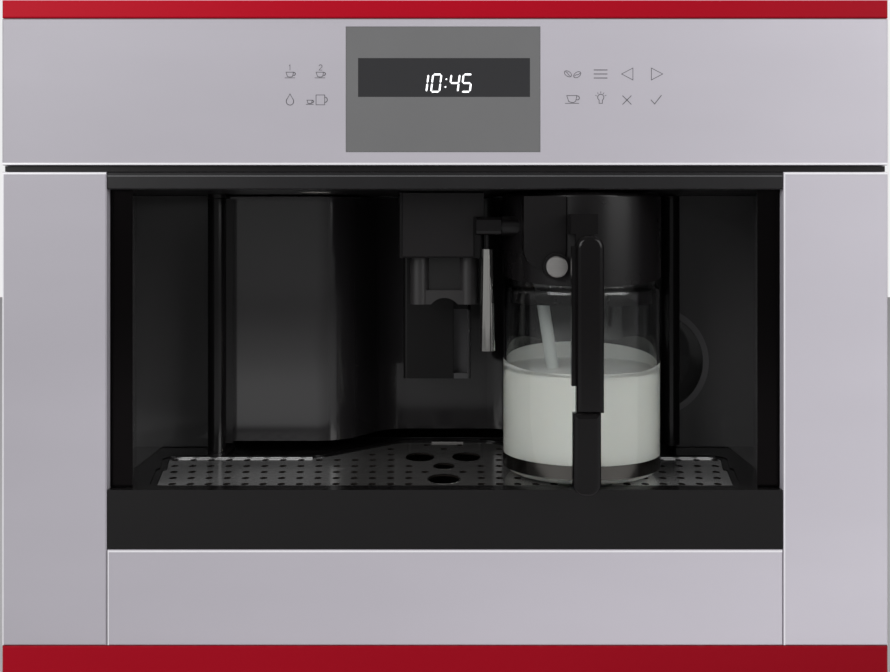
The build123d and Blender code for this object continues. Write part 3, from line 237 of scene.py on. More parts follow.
def brushed_lines():
    """Long fine scratches of brushed metal, along the axis on which the place is stretched least."""
    tree, sh, given, out = new_group(
        "brushed_lines",
        [("Place", "Vector", None), ("Roughness", "Float", 0.3), ("Depth", "Float", 0.08)],
        [("Height", "Float"), ("Roughness", "Float"), ("Shade", "Float")],
    )
    lines = sh.noise(given["Place"], 1.0, 4.0, 0.7)
    cloud = sh.noise(given["Place"], 0.05, 2.0)
    swing = sh.maths("MULTIPLY", sh.maths("SUBTRACT", lines, 0.5), given["Depth"])
    sh.join(lines, out["Height"])
    sh.join(sh.maths("ADD", given["Roughness"], swing, clamp=True), out["Roughness"])
    sh.join(sh.maths("ADD", sh.maths("MULTIPLY", lines, 0.7), sh.maths("MULTIPLY", cloud, 0.3)), out["Shade"])
    return tree


def handling_marks():
    """Dust that settles on what faces up, and faint smears where hands and cloths pass."""
    tree, sh, given, out = new_group(
        "handling_marks",
        [("Place", "Vector", None), ("Dust", "Float", 0.1), ("Smears", "Float", 0.06)],
        [("Dust", "Float"), ("Smears", "Float")],
    )
    upward = sh.span(sh.facing()["Z"], 0.55, 1.0)
    specks = sh.span(sh.noise(given["Place"], 260.0, 5.0, 0.7), 0.42, 0.75)
    sh.join(sh.maths("MULTIPLY", sh.maths("MULTIPLY", upward, specks), given["Dust"]), out["Dust"])
    wipes = sh.span(sh.noise(sh.stretched(given["Place"], (14.0, 14.0, 5.0)), 1.0, 5.0, 0.65), 0.5, 0.72)
    sh.join(sh.maths("MULTIPLY", wipes, given["Smears"]), out["Smears"])
    return tree


GRAIN = moulded_grain()
BRUSHED = brushed_lines()
MARKS = handling_marks()


# ---------------------------------------------------------------- materials
# Places and sizes are in millimetres, apart from the few that say metres.
ALONG_X = (12.0, 900.0, 900.0)  # scales of brushed lines along an axis
ALONG_Z = (900.0, 900.0, 12.0)
METAL_SWING = 0.15  # how far brushed metal shifts in tone
BUBBLE_SCALE = 420.0
PAINTED_LIGHT_FOOT, PAINTED_LIGHT_TOP = 70, 240  # heights between which the painted light and shade up the sprayed panels changes
CLOCK_WINDOW = at(-58.4, 0, 389.9), at(57.1, 0, 416.0)  # its corners
PIXEL_PITCH = 0.0006  # metres
GRID_TOP = 124.6  # height of the cup grid's sheet
CENTRE_SHADE_SIDES = 0.060, 0.100  # metres to the sides, between which the painted shade in the grid's middle, under the outlet and jug, fades
COAT_END = -0.100, -0.085  # metres across, between which the gloss coat on the service door fades
FLOOR_REFLECTION_LOW, FLOOR_REFLECTION_HIGH = 135, 200  # heights between which the painted reflection of the floor low on the niche's back panels fades
BACK_PANEL = 140  # the niche's back panels lie deeper than this
EDGE_STRIP = 9.5  # depth of the matt strip at the niche's front
RECESS_CENTRE = (168, 148, 194.5)  # of the finger recess: x, depth, height
RECESS_LIP, RECESS_BOWL = 44.1, 39.2  # radii of the painted highlight on the rim and the painted shade in the bowl
SPOUT_GAP_SHADE = at(-11.6, 0, 257.1), at(10.8, 0, 300)  # corners of the painted shade on the flat between the two spouts
COLUMN_HIGHLIGHT = at(6.7, 0, 188), at(19.6, 0, 240)  # corners of the painted highlight on the column's right side


def new_finish(name):
    """An empty material with its tree, Principled shader and place on the object."""
    finish = bpy.data.materials.new(name)
    finish.use_nodes = True
    sh = Shader(finish.node_tree)
    shader = finish.node_tree.nodes["Principled BSDF"]
    place = sh.node("TexCoord").outputs["Object"]
    return finish, sh, shader, place


def placed(sh, group, place, **values):
    """A shared effect placed in a material, with its own values."""
    made = sh.node("Group", node_tree=group)
    sh.join(place, made.inputs["Place"])
    for name, value in values.items():
        sh.join(value, made.inputs[name])
    return made.outputs


def set_plain(node, **values):
    """Sets what is the same all over the surface; an underscore stands for a space."""
    for name, value in values.items():
        node.inputs[name.replace("_", " ")].default_value = value


def roughen(sh, shader, roughness, wear):
    """The surface's own roughness with its wear on top."""
    sh.join(sh.maths("ADD", roughness, wear, clamp=True), shader.inputs["Roughness"])


def all_wear(sh, marks):
    """Dust and smears together."""
    return sh.maths("ADD", marks["Dust"], marks["Smears"])


def raise_surface(sh, shader, height, distance, strength=1.0):
    """Fine relief, from a height over the surface."""
    bump = sh.node("Bump")
    set_plain(bump, Strength=strength, Distance=distance)
    sh.join(height, bump.inputs["Height"])
    sh.join(bump.outputs["Normal"], shader.inputs["Normal"])


def dusty(sh, marks, colour, grey=(0.32, 0.31, 0.30, 1)):
    """The colour under its dust."""
    return sh.blend(marks["Dust"], colour, grey)


def shaded(sh, shade, colour, swing):
    """The colour, a little darker and lighter with the shade."""
    low = tuple(c * (1 - swing) for c in colour)
    high = tuple(min(1.0, c * (1 + swing)) for c in colour)
    return sh.blend(shade, (*low, 1), (*high, 1))


def front_area(sh, place, low, high):
    """A mask of the area between two corners, as seen from the front."""
    spot = sh.axes(place)
    mask = 1.0
    for axis, near, far in (("X", low.x, high.x), ("Z", low.z, high.z)):
        value = spot[axis]
        inside = sh.maths("MULTIPLY", sh.maths("GREATER_THAN", value, near), sh.maths("LESS_THAN", value, far))
        mask = sh.maths("MULTIPLY", mask, inside)
    return mask


def plastic(name, colour, roughness, grain=1400.0, depth=0.00002, uneven=0.12, swing=0.18, dust=0.1, smears=0.05,
            specular=0.5, area=None, painted_patch_colour=None):
    """Moulded plastic, with painted light in one area of the front where that is given: painted shade where its colour
    there is darker, a painted highlight where it is lighter.
    """
    finish, sh, shader, place = new_finish(name)
    skin = placed(sh, GRAIN, place, Grain=grain, Roughness=roughness, Unevenness=uneven)
    marks = placed(sh, MARKS, place, Dust=dust, Smears=smears)
    skin_colour = shaded(sh, skin["Shade"], colour, swing)
    if area:
        skin_colour = sh.blend(front_area(sh, place, *area), skin_colour, (*painted_patch_colour, 1))
    sh.join(dusty(sh, marks, skin_colour), shader.inputs["Base Color"])
    roughen(sh, shader, skin["Roughness"], all_wear(sh, marks))
    set_plain(shader, Specular_IOR_Level=specular)
    raise_surface(sh, shader, skin["Height"], depth)
    return finish


def metal(name, colour, roughness, grain_scale, depth=0.00001, spread=0.1, dust=0.05, smears=0.06):
    """Brushed or rolled metal."""
    finish, sh, shader, place = new_finish(name)
    lines = placed(sh, BRUSHED, sh.stretched(place, grain_scale), Roughness=roughness, Depth=spread)
    marks = placed(sh, MARKS, place, Dust=dust, Smears=smears)
    sh.join(dusty(sh, marks, shaded(sh, lines["Shade"], colour, METAL_SWING)), shader.inputs["Base Color"])
    roughen(sh, shader, lines["Roughness"], all_wear(sh, marks))
    set_plain(shader, Metallic=1.0)
    raise_surface(sh, shader, lines["Height"], depth)
    return finish


def painted_sheet(name, colour, roughness, metallic, across=0.0, upward=1.0, specular=0.5):
    """Sprayed sheet metal with mottle and orange peel, and painted light and shade: lighter and darker across and up
    the panels as the lamps' light falls.
    """
    finish, sh, shader, place = new_finish(name)
    spot = sh.axes(place)
    # painted light and shade: the colour grows lighter and darker across and up the panels, standing in for how the
    # lamps fall
    painted_light_tone = sh.span(spot["X"], cad_box[0][0], cad_box[1][0], 1.0 - across, 1.0 + across)
    painted_light_tone = sh.maths("MULTIPLY", painted_light_tone, sh.span(spot["Z"], PAINTED_LIGHT_FOOT * MM, PAINTED_LIGHT_TOP * MM, 1.0, upward))
    skin = placed(sh, GRAIN, place, Grain=420.0, Roughness=roughness, Unevenness=0.08)
    marks = placed(sh, MARKS, place, Dust=0.06, Smears=0.03)
    mottle = sh.noise(sh.stretched(place, (3.0, 3.0, 11.0)), 1.0, 3.0)
    level = sh.maths("MULTIPLY", painted_light_tone, sh.span(mottle, 0.3, 0.7, 0.965, 1.035))
    flake = sh.maths("MULTIPLY", level, sh.span(sh.noise(place, 2600.0, 1.0), 0.3, 0.7, 0.97, 1.03))
    scaled = sh.node("VectorMath", operation="SCALE")
    scaled.inputs[0].default_value = colour
    sh.join(flake, scaled.inputs["Scale"])
    sh.join(dusty(sh, marks, scaled.outputs[0], (0.5, 0.49, 0.48, 1)), shader.inputs["Base Color"])
    roughen(sh, shader, skin["Roughness"], marks["Smears"])
    set_plain(shader, Metallic=metallic, Specular_IOR_Level=specular)
    raise_surface(sh, shader, skin["Height"], 0.00003, 0.6)
    return finish


def display_finish():
    """Grey glass with a dark clock window behind it and a faint pixel mesh in the window."""
    finish, sh, shader, place = new_finish("display_glass")
    spot = sh.axes(place)
    mask = front_area(sh, place, *CLOCK_WINDOW)
    cells = 1.0
    for axis in ("X", "Z"):
        wave = sh.maths("SINE", sh.maths("MULTIPLY", spot[axis], 2 * math.pi / PIXEL_PITCH))
        cells = sh.maths("MULTIPLY", cells, sh.span(wave, -1.0, 1.0, 0.8, 1.0))
    cloud = sh.noise(place, 16.0, 3.0)
    grey = sh.blend(cloud, (0.130, 0.130, 0.132, 1), (0.150, 0.150, 0.152, 1))
    dark = sh.blend(cells, (0.017, 0.017, 0.019, 1), (0.031, 0.031, 0.033, 1))
    marks = placed(sh, MARKS, place, Dust=0.03, Smears=0.1)
    sh.join(dusty(sh, marks, sh.blend(mask, grey, dark)), shader.inputs["Base Color"])
    roughen(sh, shader, 0.16, marks["Smears"])
    set_plain(shader, Specular_IOR_Level=0.3)
    raise_surface(sh, shader, cloud, 0.00001)
    return finish


def clear_finish(name, colour, roughness, ior=1.47, smears=0.02, clear=1.0, specular=0.5):
    """Glass and clear plastic, with faint smears."""
    finish, sh, shader, place = new_finish(name)
    marks = placed(sh, MARKS, place, Dust=0.02, Smears=smears)
    tint = sh.noise(place, 11.0, 2.0)
    low = tuple(c * 0.97 for c in colour)
    sh.join(sh.blend(tint, (*low, 1), (*colour, 1)), shader.inputs["Base Color"])
    roughen(sh, shader, roughness, marks["Smears"])
    set_plain(shader, Transmission_Weight=clear, Specular_IOR_Level=specular, IOR=ior)
    raise_surface(sh, shader, sh.noise(place, 30.0, 2.0), 0.00002, 0.5)
    return finish


def milk_finish(name, white, grey):
    """White milk with a lighter colour on the flat top: froth with fine foam bubbles there, and painted light that
    makes up for the shade under the lid.
    """
    finish, sh, shader, place = new_finish(name)
    top = sh.span(sh.facing()["Z"], 0.6, 0.95)
    bubbles = sh.node("TexVoronoi")
    sh.join(place, bubbles.inputs["Vector"])
    set_plain(bubbles, Scale=BUBBLE_SCALE)
    foam = sh.span(bubbles.outputs["Distance"], 0.0, 0.5)
    cloud = sh.noise(place, 26.0, 4.0)
    body = shaded(sh, cloud, white, 0.04)
    # froth and painted light: the top's colour is lighter than the body's
    froth_and_painted_light = shaded(sh, foam, grey, 0.06)
    sh.join(sh.blend(top, body, froth_and_painted_light), shader.inputs["Base Color"])
    sh.join(sh.span(cloud, 0.3, 0.7, 0.32, 0.42), shader.inputs["Roughness"])
    set_plain(shader, Subsurface_Weight=0.25, Subsurface_Radius=(0.004, 0.0035, 0.003), Subsurface_Scale=1.0)
    raise_surface(sh, shader, sh.maths("MULTIPLY", foam, top), 0.0002, 0.5)
    return finish


def board_finish():
    """Green solder mask with copper tracks."""
    finish, sh, shader, place = new_finish("circuit_board")
    bricks = sh.node("TexBrick")
    sh.join(sh.stretched(place, (260.0, 260.0, 260.0)), bricks.inputs["Vector"])
    set_plain(bricks, Color1=(0.008, 0.085, 0.032, 1), Color2=(0.010, 0.110, 0.040, 1), Mortar=(0.09, 0.16, 0.05, 1),
              Mortar_Size=0.03)
    sh.join(bricks.outputs["Color"], shader.inputs["Base Color"])
    set_plain(shader, Roughness=0.35)
    raise_surface(sh, shader, bricks.outputs["Fac"], 0.00004)
    return finish


def lit_finish(name, colour, strength):
    """A printed or lit mark, a touch uneven as such marks are."""
    finish, sh, shader, place = new_finish(name)
    cloud = sh.noise(place, 900.0, 2.0)
    shade = shaded(sh, cloud, colour, 0.06)
    sh.join(shade, shader.inputs["Base Color"])
    if strength:
        sh.join(shade, shader.inputs["Emission Color"])
        set_plain(shader, Emission_Strength=strength)
    sh.join(sh.span(cloud, 0.3, 0.7, 0.4, 0.5), shader.inputs["Roughness"])
    return finish


def grid_finish():
    """Bright rolled sheet, with painted shade in the middle under the outlet and jug and painted shade on the walls
    inside its punched holes.
    """
    finish, sh, shader, place = new_finish("grid_steel")
    lines = placed(sh, BRUSHED, sh.stretched(place, ALONG_X), Roughness=0.17, Depth=0.08)
    marks = placed(sh, MARKS, place, Dust=0.05, Smears=0.08)
    facing, spot = sh.facing(), sh.axes(place)
    lip = sh.maths("GREATER_THAN", spot["Z"], (GRID_TOP + 0.15) * MM)
    flat = sh.maths("MAXIMUM", sh.maths("GREATER_THAN", facing["Z"], 0.6), lip)
    side = sh.maths("ABSOLUTE", spot["X"])
    # painted shade: the grid's middle is darkened where the outlet and jug shade it, fading out to the sides
    centre_shade = sh.blend(sh.span(side, *CENTRE_SHADE_SIDES), (0.42, 0.41, 0.40, 1), (0.98, 0.98, 0.98, 1))
    grain = sh.blend(lines["Shade"], (0.85, 0.85, 0.85, 1), (1.0, 1.0, 1.0, 1))
    shade = sh.node("Mix", data_type="RGBA", blend_type="MULTIPLY")
    for socket, value in ((0, 1.0), (6, centre_shade), (7, grain)):
        sh.join(value, shade.inputs[socket])
    steel = dusty(sh, marks, shade.outputs[2])
    # painted shade: faces that don't face up, the walls inside the holes, are near black and not metal
    sh.join(sh.blend(flat, (0.012, 0.010, 0.009, 1), steel), shader.inputs["Base Color"])
    roughen(sh, shader, lines["Roughness"], marks["Smears"])
    sh.join(sh.maths("MULTIPLY", flat, 0.85), shader.inputs["Metallic"])
    raise_surface(sh, shader, lines["Height"], 0.000008)
    return finish


FINISHES = {
    # painted light and shade: across and upward set how much the silver and red panels lighten and darken across and up
    # them
    "silver_panels": painted_sheet("silver_panels", (0.472, 0.450, 0.497), 0.42, 0.15, across=0.16, upward=0.88,
                                   specular=0.35),
    "red_strips": painted_sheet("red_strips", (0.272, 0.0016, 0.0095), 0.4, 0.0, across=-0.15, upward=1.27,
                                specular=0.08),
    "black_steel": painted_sheet("black_steel", (0.006, 0.005, 0.0055), 0.3, 0.0, specular=0.3),
    "dark_steel": metal("dark_steel", (0.10, 0.095, 0.088), 0.2, ALONG_X),
    "grid_steel": grid_finish(),
    "black_plastic": plastic("black_plastic", (0.0068, 0.0062, 0.0066), 0.34, grain=900.0, specular=0.35),
    "gloss_black": plastic("gloss_black", (0.0045, 0.0040, 0.0043), 0.16, grain=300.0, depth=0.000004, uneven=0.06,
                           dust=0.05, specular=0.24),
    "grey_plastic": plastic("grey_plastic", (0.16, 0.16, 0.165), 0.45),
    "lamp_plastic": plastic("lamp_plastic", (0.8, 0.78, 0.70), 0.25, grain=2000.0, dust=0.02),
    "silicone": plastic("silicone", (0.75, 0.75, 0.73), 0.5, grain=700.0),
    "display_glass": display_finish(),
    "jug_glass": clear_finish("jug_glass", (0.95, 0.965, 0.96), 0.02, specular=0.3),
    "clear_plastic": clear_finish("clear_plastic", (0.80, 0.84, 0.87), 0.12, ior=1.49, smears=0.06),
    "milk": milk_finish("milk", (0.86, 0.875, 0.82), (0.92, 0.93, 0.88)),
    "brushed_steel": metal("brushed_steel", (0.42, 0.41, 0.40), 0.34, ALONG_X),
    "polished_steel": metal("polished_steel", (0.62, 0.61, 0.60), 0.16, ALONG_Z, depth=0.000003, spread=0.05),
    "zinc_steel": metal("zinc_steel", (0.55, 0.56, 0.57), 0.42, ALONG_X, spread=0.12, dust=0.15),
    "burr_steel": metal("burr_steel", (0.45, 0.45, 0.45), 0.35, ALONG_Z),
    "heater_aluminium": metal("heater_aluminium", (0.68, 0.68, 0.68), 0.5, (60.0, 60.0, 60.0), depth=0.00006),
    "circuit_board": board_finish(),
}


def gloss_lining(name, colour, roughness):
    """Smooth black sheet: its tree, shader, place's axes, marks and black, with the black left to join up."""
    finish, sh, shader, place = new_finish(name)
    spot = sh.axes(place)
    skin = placed(sh, GRAIN, place, Grain=260.0, Roughness=roughness, Unevenness=0.05)
    marks = placed(sh, MARKS, place, Dust=0.04, Smears=0.012)
    black = shaded(sh, skin["Shade"], colour, 0.12)
    roughen(sh, shader, skin["Roughness"], marks["Smears"])
    set_plain(shader, Coat_Roughness=0.1, Specular_IOR_Level=0.25)
    raise_surface(sh, shader, skin["Height"], 0.000003)
    return finish, sh, shader, spot, marks, black


def door_finish():
    """The service door: a clear gloss coat on its left flat, satin in the channel and on the right."""
    finish, sh, shader, spot, marks, black = gloss_lining("door_gloss", (0.0135, 0.0125, 0.0133), 0.14)
    sh.join(dusty(sh, marks, black), shader.inputs["Base Color"])
    sh.join(sh.span(spot["X"], *COAT_END, 1.0, 0.12), shader.inputs["Coat Weight"])
    return finish


def side_lining(name, colour, recess=None):
    """The niche's side: matt edge strip at the front, a painted reflection of the floor low on its back panel, and a
    finger recess with a painted highlight on its rim and painted shade in its bowl.
    """
    finish, sh, shader, spot, marks, black = gloss_lining(name, colour, 0.2)
    # painted reflection of the floor: the back panel is lighter towards its bottom
    floor_reflection = sh.span(spot["Z"], FLOOR_REFLECTION_LOW * MM, FLOOR_REFLECTION_HIGH * MM, 0.5, 0.0)
    back = sh.maths("GREATER_THAN", spot["Y"], at(0, BACK_PANEL, 0).y)
    black = sh.blend(sh.maths("MULTIPLY", floor_reflection, back), black, (0.085, 0.085, 0.087, 1))
    if recess:
        centre = at(*recess)
        across, upward = sh.maths("SUBTRACT", spot["X"], centre.x), sh.maths("SUBTRACT", spot["Z"], centre.z)
        out = sh.maths("SQRT", sh.maths("ADD", sh.maths("MULTIPLY", across, across),
                                        sh.maths("MULTIPLY", upward, upward)))
        lip = sh.maths("MULTIPLY", sh.maths("LESS_THAN", out, RECESS_LIP * MM), back)
        bowl = sh.maths("MULTIPLY", sh.maths("LESS_THAN", out, RECESS_BOWL * MM), back)
        # painted highlight on the recess's rim and painted shade in its bowl
        black = sh.blend(lip, black, (0.15, 0.148, 0.152, 1))
        black = sh.blend(bowl, black, (0.004, 0.0036, 0.0037, 1))
    edge = sh.maths("LESS_THAN", spot["Y"], at(0, EDGE_STRIP, 0).y)
    sh.join(dusty(sh, marks, sh.blend(edge, black, (0.008, 0.007, 0.0073, 1))), shader.inputs["Base Color"])
    sh.join(edge, shader.inputs["Metallic"])
    sh.join(sh.maths("MULTIPLY", sh.maths("SUBTRACT", 1.0, edge), 0.5), shader.inputs["Coat Weight"])
    return finish


OWN_FINISHES = {
    # painted light: both sides are the same black sheet, lightened in colour, the right side more than the left
    "left_niche_side": side_lining("left_lining", (0.050, 0.0485, 0.0495)),
    "right_niche_side": side_lining("right_lining", (0.074, 0.072, 0.074), recess=RECESS_CENTRE),
    "door_panel": door_finish(),
    "niche_bar": plastic("bar_plastic", (0.0058, 0.0053, 0.0062), 0.36, grain=700.0, specular=0.35),
    "milk_tube": metal("tube_steel", (0.62, 0.61, 0.59), 0.07, ALONG_Z, depth=0.000001, spread=0.03, smears=0.02),
    # painted shade: the flat between the two spouts is darker
    "twin_spout": plastic("spout_plastic", (0.019, 0.0178, 0.0182), 0.3, grain=700.0, specular=0.4,
                          area=SPOUT_GAP_SHADE, painted_patch_colour=(0.003, 0.0026, 0.0027)),
    # painted highlight: a paler strip on the column's right side
    "outlet_column": plastic("column_plastic", (0.0024, 0.0021, 0.0022), 0.42, grain=500.0, specular=0.16,
                             area=COLUMN_HIGHLIGHT, painted_patch_colour=(0.045, 0.044, 0.046)),
    "jug_lid": plastic("lid_plastic", (0.0040, 0.0034, 0.0037), 0.28, grain=500.0, specular=0.25),
    "jug_handle": plastic("handle_plastic", (0.0030, 0.0025, 0.0027), 0.2, grain=400.0, specular=0.2),
    "intake_tube": clear_finish("frosted_plastic", (0.86, 0.89, 0.87), 0.4, ior=1.25, clear=0.6),
}


def dress_nodes():
    """Gives every node the finish of its own material slot, or its own version of it."""
    for part in frame["record"]["subparts"]:
        node = frame["nodes"].get(part["node"])
        node.data.materials.clear()
        node.data.materials.append(OWN_FINISHES.get(part["node"], FINISHES[part["material_slot"]]))


# ---------------------------------------------------------------- making pieces
def close_piece(name, mesh, body, finish, smooth=None):
    """Turns a bmesh into a piece that rides on a body and takes a slot's finish."""
    bmesh.ops.recalc_face_normals(mesh, faces=mesh.faces)
    data = bpy.data.meshes.new(name)
    mesh.to_mesh(data)
    mesh.free()
    data.materials.append(finish)
    piece = bpy.data.objects.new(name, data)
    scene.collection.objects.link(piece)
    if smooth:
        for face in data.polygons:
            face.use_smooth = True
        data.set_sharp_from_angle(angle=math.radians(smooth))
    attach(piece, body)
    return piece


def add_plate(mesh, corners, thickness):
    """A flat plate on the front panel from a few corners (x, z), standing a hair proud of it."""
    points = [mesh.verts.new(at(x, 0, z)) for x, z in corners]
    face = mesh.faces.new(points)
    sheet = bmesh.ops.extrude_face_region(mesh, geom=[face])
    moved = [v for v in sheet["geom"] if isinstance(v, bmesh.types.BMVert)]
    bmesh.ops.translate(mesh, verts=moved, vec=(0, -thickness * MM, 0))
    return points + moved


def add_line(mesh, points, width, thickness=0.06, closed=False):
    """A printed line of even width through a few points (x, z)."""
    pairs = list(zip(points, points[1:])) + ([(points[-1], points[0])] if closed else [])
    for (x1, z1), (x2, z2) in pairs:
        length = math.hypot(x2 - x1, z2 - z1) or 1.0
        ux, uz = (x2 - x1) / length * width / 2, (z2 - z1) / length * width / 2
        add_plate(mesh, [(x1 - ux - uz, z1 - uz + ux), (x2 + ux - uz, z2 + uz + ux),
                         (x2 + ux + uz, z2 + uz - ux), (x1 - ux + uz, z1 - uz - ux)], thickness)


def arc(x, z, radius, start, end, steps=14, squash=1.0):
    """Points on an arc, with its turns in degrees."""
    turn = [math.radians(start + (end - start) * i / steps) for i in range(steps + 1)]
    return [(x + radius * math.cos(a), z + radius * squash * math.sin(a)) for a in turn]


LINE, THIN_LINE, BEAN_LINE, BOLD_LINE, MENU_LINE = 0.42, 0.34, 0.38, 0.55, 0.6  # widths


def cup_mark(mesh, x, z, wide, high):
    """A cup with its ear on a saucer."""
    half = wide / 2
    top, low = z + high / 2, z - high / 2
    bowl = [(x - half * 0.8, top), (x - half * 0.55, low + high * 0.25), (x - half * 0.2, low + 0.6),
            (x + half * 0.15, low + 0.6), (x + half * 0.4, low + high * 0.3), (x + half * 0.55, top)]
    add_line(mesh, bowl, LINE, closed=True)
    add_line(mesh, arc(x + half * 0.62, z + high * 0.2, high * 0.26, 100, -110, 8), LINE)
    add_line(mesh, [(x - half, low), (x + half * 0.8, low)], LINE)


def numeral(mesh, which, x, z, high=3.6):
    """A plain 1 or 2."""
    half, wide = high / 2, high * 0.28
    if which == 1:
        points = [(x - wide * 0.6, z + half * 0.55), (x, z + half), (x, z - half)]
    else:
        points = arc(x, z + half - wide, wide, 170, -30, 8) + [(x - wide, z - half), (x + wide, z - half)]
    add_line(mesh, points, THIN_LINE)


def bean_mark(mesh, x, z, tilt):
    """A coffee bean's outline with its groove."""
    ring = arc(0, 0, 2.7, 0, 360, 16, 0.62)[:-1]
    groove = [(-2.0, 0.3), (-0.6, 0.35), (0.6, -0.35), (2.0, -0.3)]
    c, s = math.cos(math.radians(tilt)), math.sin(math.radians(tilt))
    for outline, closed in ((ring, True), (groove, False)):
        add_line(mesh, [(x + a * c - b * s, z + a * s + b * c) for a, b in outline], BEAN_LINE,
                 closed=closed)


def panel_symbols():
    """The touch keys' printed symbols: cups, drop, milk, beans, menu, arrows, lamp, cross and tick."""
    mesh = bmesh.new()
    numeral(mesh, 1, -104.1, 409.7)
    numeral(mesh, 2, -83.6, 409.7)
    cup_mark(mesh, -103.8, 404.6, 7.4, 3.8)
    cup_mark(mesh, -83.6, 404.6, 7.4, 3.8)
    drop = [(-104.1, 391.9)] + arc(-104.1, 386.9, 2.5, 35, -215, 16)
    add_line(mesh, drop, LINE, closed=True)
    add_line(mesh, [(-86.6, 391.2), (-86.6, 384.6), (-80.8, 384.6), (-80.8, 391.2)], LINE, closed=True)
    add_line(mesh, arc(-80.8, 388.0, 1.8, 90, -90, 8), LINE)
    cup_mark(mesh, -90.6, 386.3, 5.2, 2.8)
    bean_mark(mesh, 82.6, 405.4, -35)
    bean_mark(mesh, 88.8, 404.8, 35)
    for level in (408.0, 405.3, 402.6):
        add_line(mesh, [(100.2, level), (108.8, level)], MENU_LINE)
    add_line(mesh, [(118.6, 405.3), (126.2, 409.3), (126.2, 401.3)], LINE, closed=True)
    add_line(mesh, [(146.2, 405.3), (138.6, 409.3), (138.6, 401.3)], LINE, closed=True)
    cup_mark(mesh, 85.8, 388.2, 10.0, 5.2)
    lamp_x, lamp_z = 104.6, 389.6
    add_line(mesh, arc(lamp_x, lamp_z, 2.1, -60, 240, 14), LINE)
    add_line(mesh, [(103.5, 387.6), (103.5, 385.6), (105.7, 385.6), (105.7, 387.6)], LINE)
    for turn in (20, 55, 90, 125, 160):
        c, s = math.cos(math.radians(turn)), math.sin(math.radians(turn))
        add_line(mesh, [(lamp_x + reach * c, lamp_z + reach * s) for reach in (2.9, 3.8)], THIN_LINE)
    add_line(mesh, [(119.4, 390.6), (125.0, 385.0)], BOLD_LINE)
    add_line(mesh, [(119.4, 385.0), (125.0, 390.6)], BOLD_LINE)
    add_line(mesh, [(138.4, 387.8), (140.8, 385.2), (145.2, 390.8)], BOLD_LINE)
    finish = lit_finish("symbol_print", (0.085, 0.083, 0.092), 0.0)
    close_piece("panel_symbols", mesh, "machine", finish)


SEGMENTS = {"0": "abcdef", "1": "bc", "4": "fgbc", "5": "afgcd"}
DIGIT_WIDTH, DIGIT_HEIGHT, DIGIT_BAR = 5.6, 11.6, 1.15
DIGIT_LEVEL = 399.2
DIGIT_PLACES = (("1", -14.6), ("0", -5.9), ("4", 6.4), ("5", 14.6))
DIGIT_LEAN = math.tan(math.radians(7))


def clock_digits():
    """The lit time in the clock window, in leaning bars."""
    mesh = bmesh.new()
    wide, high, level = DIGIT_WIDTH, DIGIT_HEIGHT, DIGIT_LEVEL

    def segment(x, z, length, upright):
        half, end = length / 2 - 0.25, DIGIT_BAR / 2
        outline = [(-half, 0), (-half + end, end), (half - end, end), (half, 0), (half - end, -end),
                   (-half + end, -end)]
        if upright:
            outline = [(b, a) for a, b in outline]
        moved = add_plate(mesh, [(x + a, z + b) for a, b in outline], 0.05)
        for vert in moved:
            vert.co.x += (vert.co.z - level * MM) * DIGIT_LEAN

    spots = {"a": (0, high / 2), "b": (wide / 2, high / 4), "c": (wide / 2, -high / 4), "d": (0, -high / 2),
             "e": (-wide / 2, -high / 4), "f": (-wide / 2, high / 4), "g": (0, 0)}
    for digit, x in DIGIT_PLACES:
        for name in SEGMENTS[digit]:
            sx, sz = spots[name]
            upright = name in "bcef"
            segment(x + sx, level + sz, high / 2 if upright else wide, upright)
    for drop in (-2.6, 2.6):
        segment(0.6, level + drop, 1.9, False)
    finish = lit_finish("clock_light", (0.95, 0.96, 1.0), 0.9)
    close_piece("clock_digits", mesh, "machine", finish)


JUG = at(98.9, 62.0, 0)  # the jug's middle line
MILK_WALL = 54.6  # a little into the glass, so no air shows between them
MILK_FLOOR = 127.3
MILK_CORNER = 8.2
MILK_LEVEL = 201.0
FILM_HEIGHT = 6.6  # over the level, at the jug's middle
FILM_SLOPE = 0.12
FILM_THICKNESS = 0.45


def turned(mesh, profile, centre, steps=96, squash=1.0):
    """Spins a closed profile of (radius, height) in millimetres about an upright line."""
    before = set(mesh.verts)
    ring = [mesh.verts.new((x * MM, 0, z * MM)) for x, z in profile]
    edges = [mesh.edges.new((a, b)) for a, b in zip(ring, ring[1:] + ring[:1])]
    bmesh.ops.spin(mesh, geom=ring + edges, cent=(0, 0, 0), axis=(0, 0, 1), angle=2 * math.pi, steps=steps,
                   use_merge=True)
    fresh = [v for v in mesh.verts if v not in before]
    bmesh.ops.scale(mesh, verts=fresh, vec=(1, squash, 1))
    bmesh.ops.translate(mesh, verts=fresh, vec=centre)
    bmesh.ops.remove_doubles(mesh, verts=fresh, dist=0.00001)
    bmesh.ops.dissolve_degenerate(mesh, edges=mesh.edges, dist=0.000001)


def milk_filling():
    """Milk that meets the glass all round and climbs it in a thin rounded line."""
    profile = [(0, MILK_FLOOR), (MILK_WALL - MILK_CORNER, MILK_FLOOR)]
    profile += arc(MILK_WALL - MILK_CORNER, MILK_FLOOR + MILK_CORNER, MILK_CORNER, -75, 0, 6)
    profile += [(MILK_WALL, MILK_LEVEL + 1.6), (MILK_WALL - 0.5, MILK_LEVEL + 0.9), (MILK_WALL - 1.4, MILK_LEVEL + 0.3),
                (MILK_WALL - 3.0, MILK_LEVEL), (0, MILK_LEVEL)]
    mesh = bmesh.new()
    turned(mesh, profile, JUG)
    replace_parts(close_piece("milk_filling", mesh, "jug", FINISHES["milk"], smooth=50), "milk")


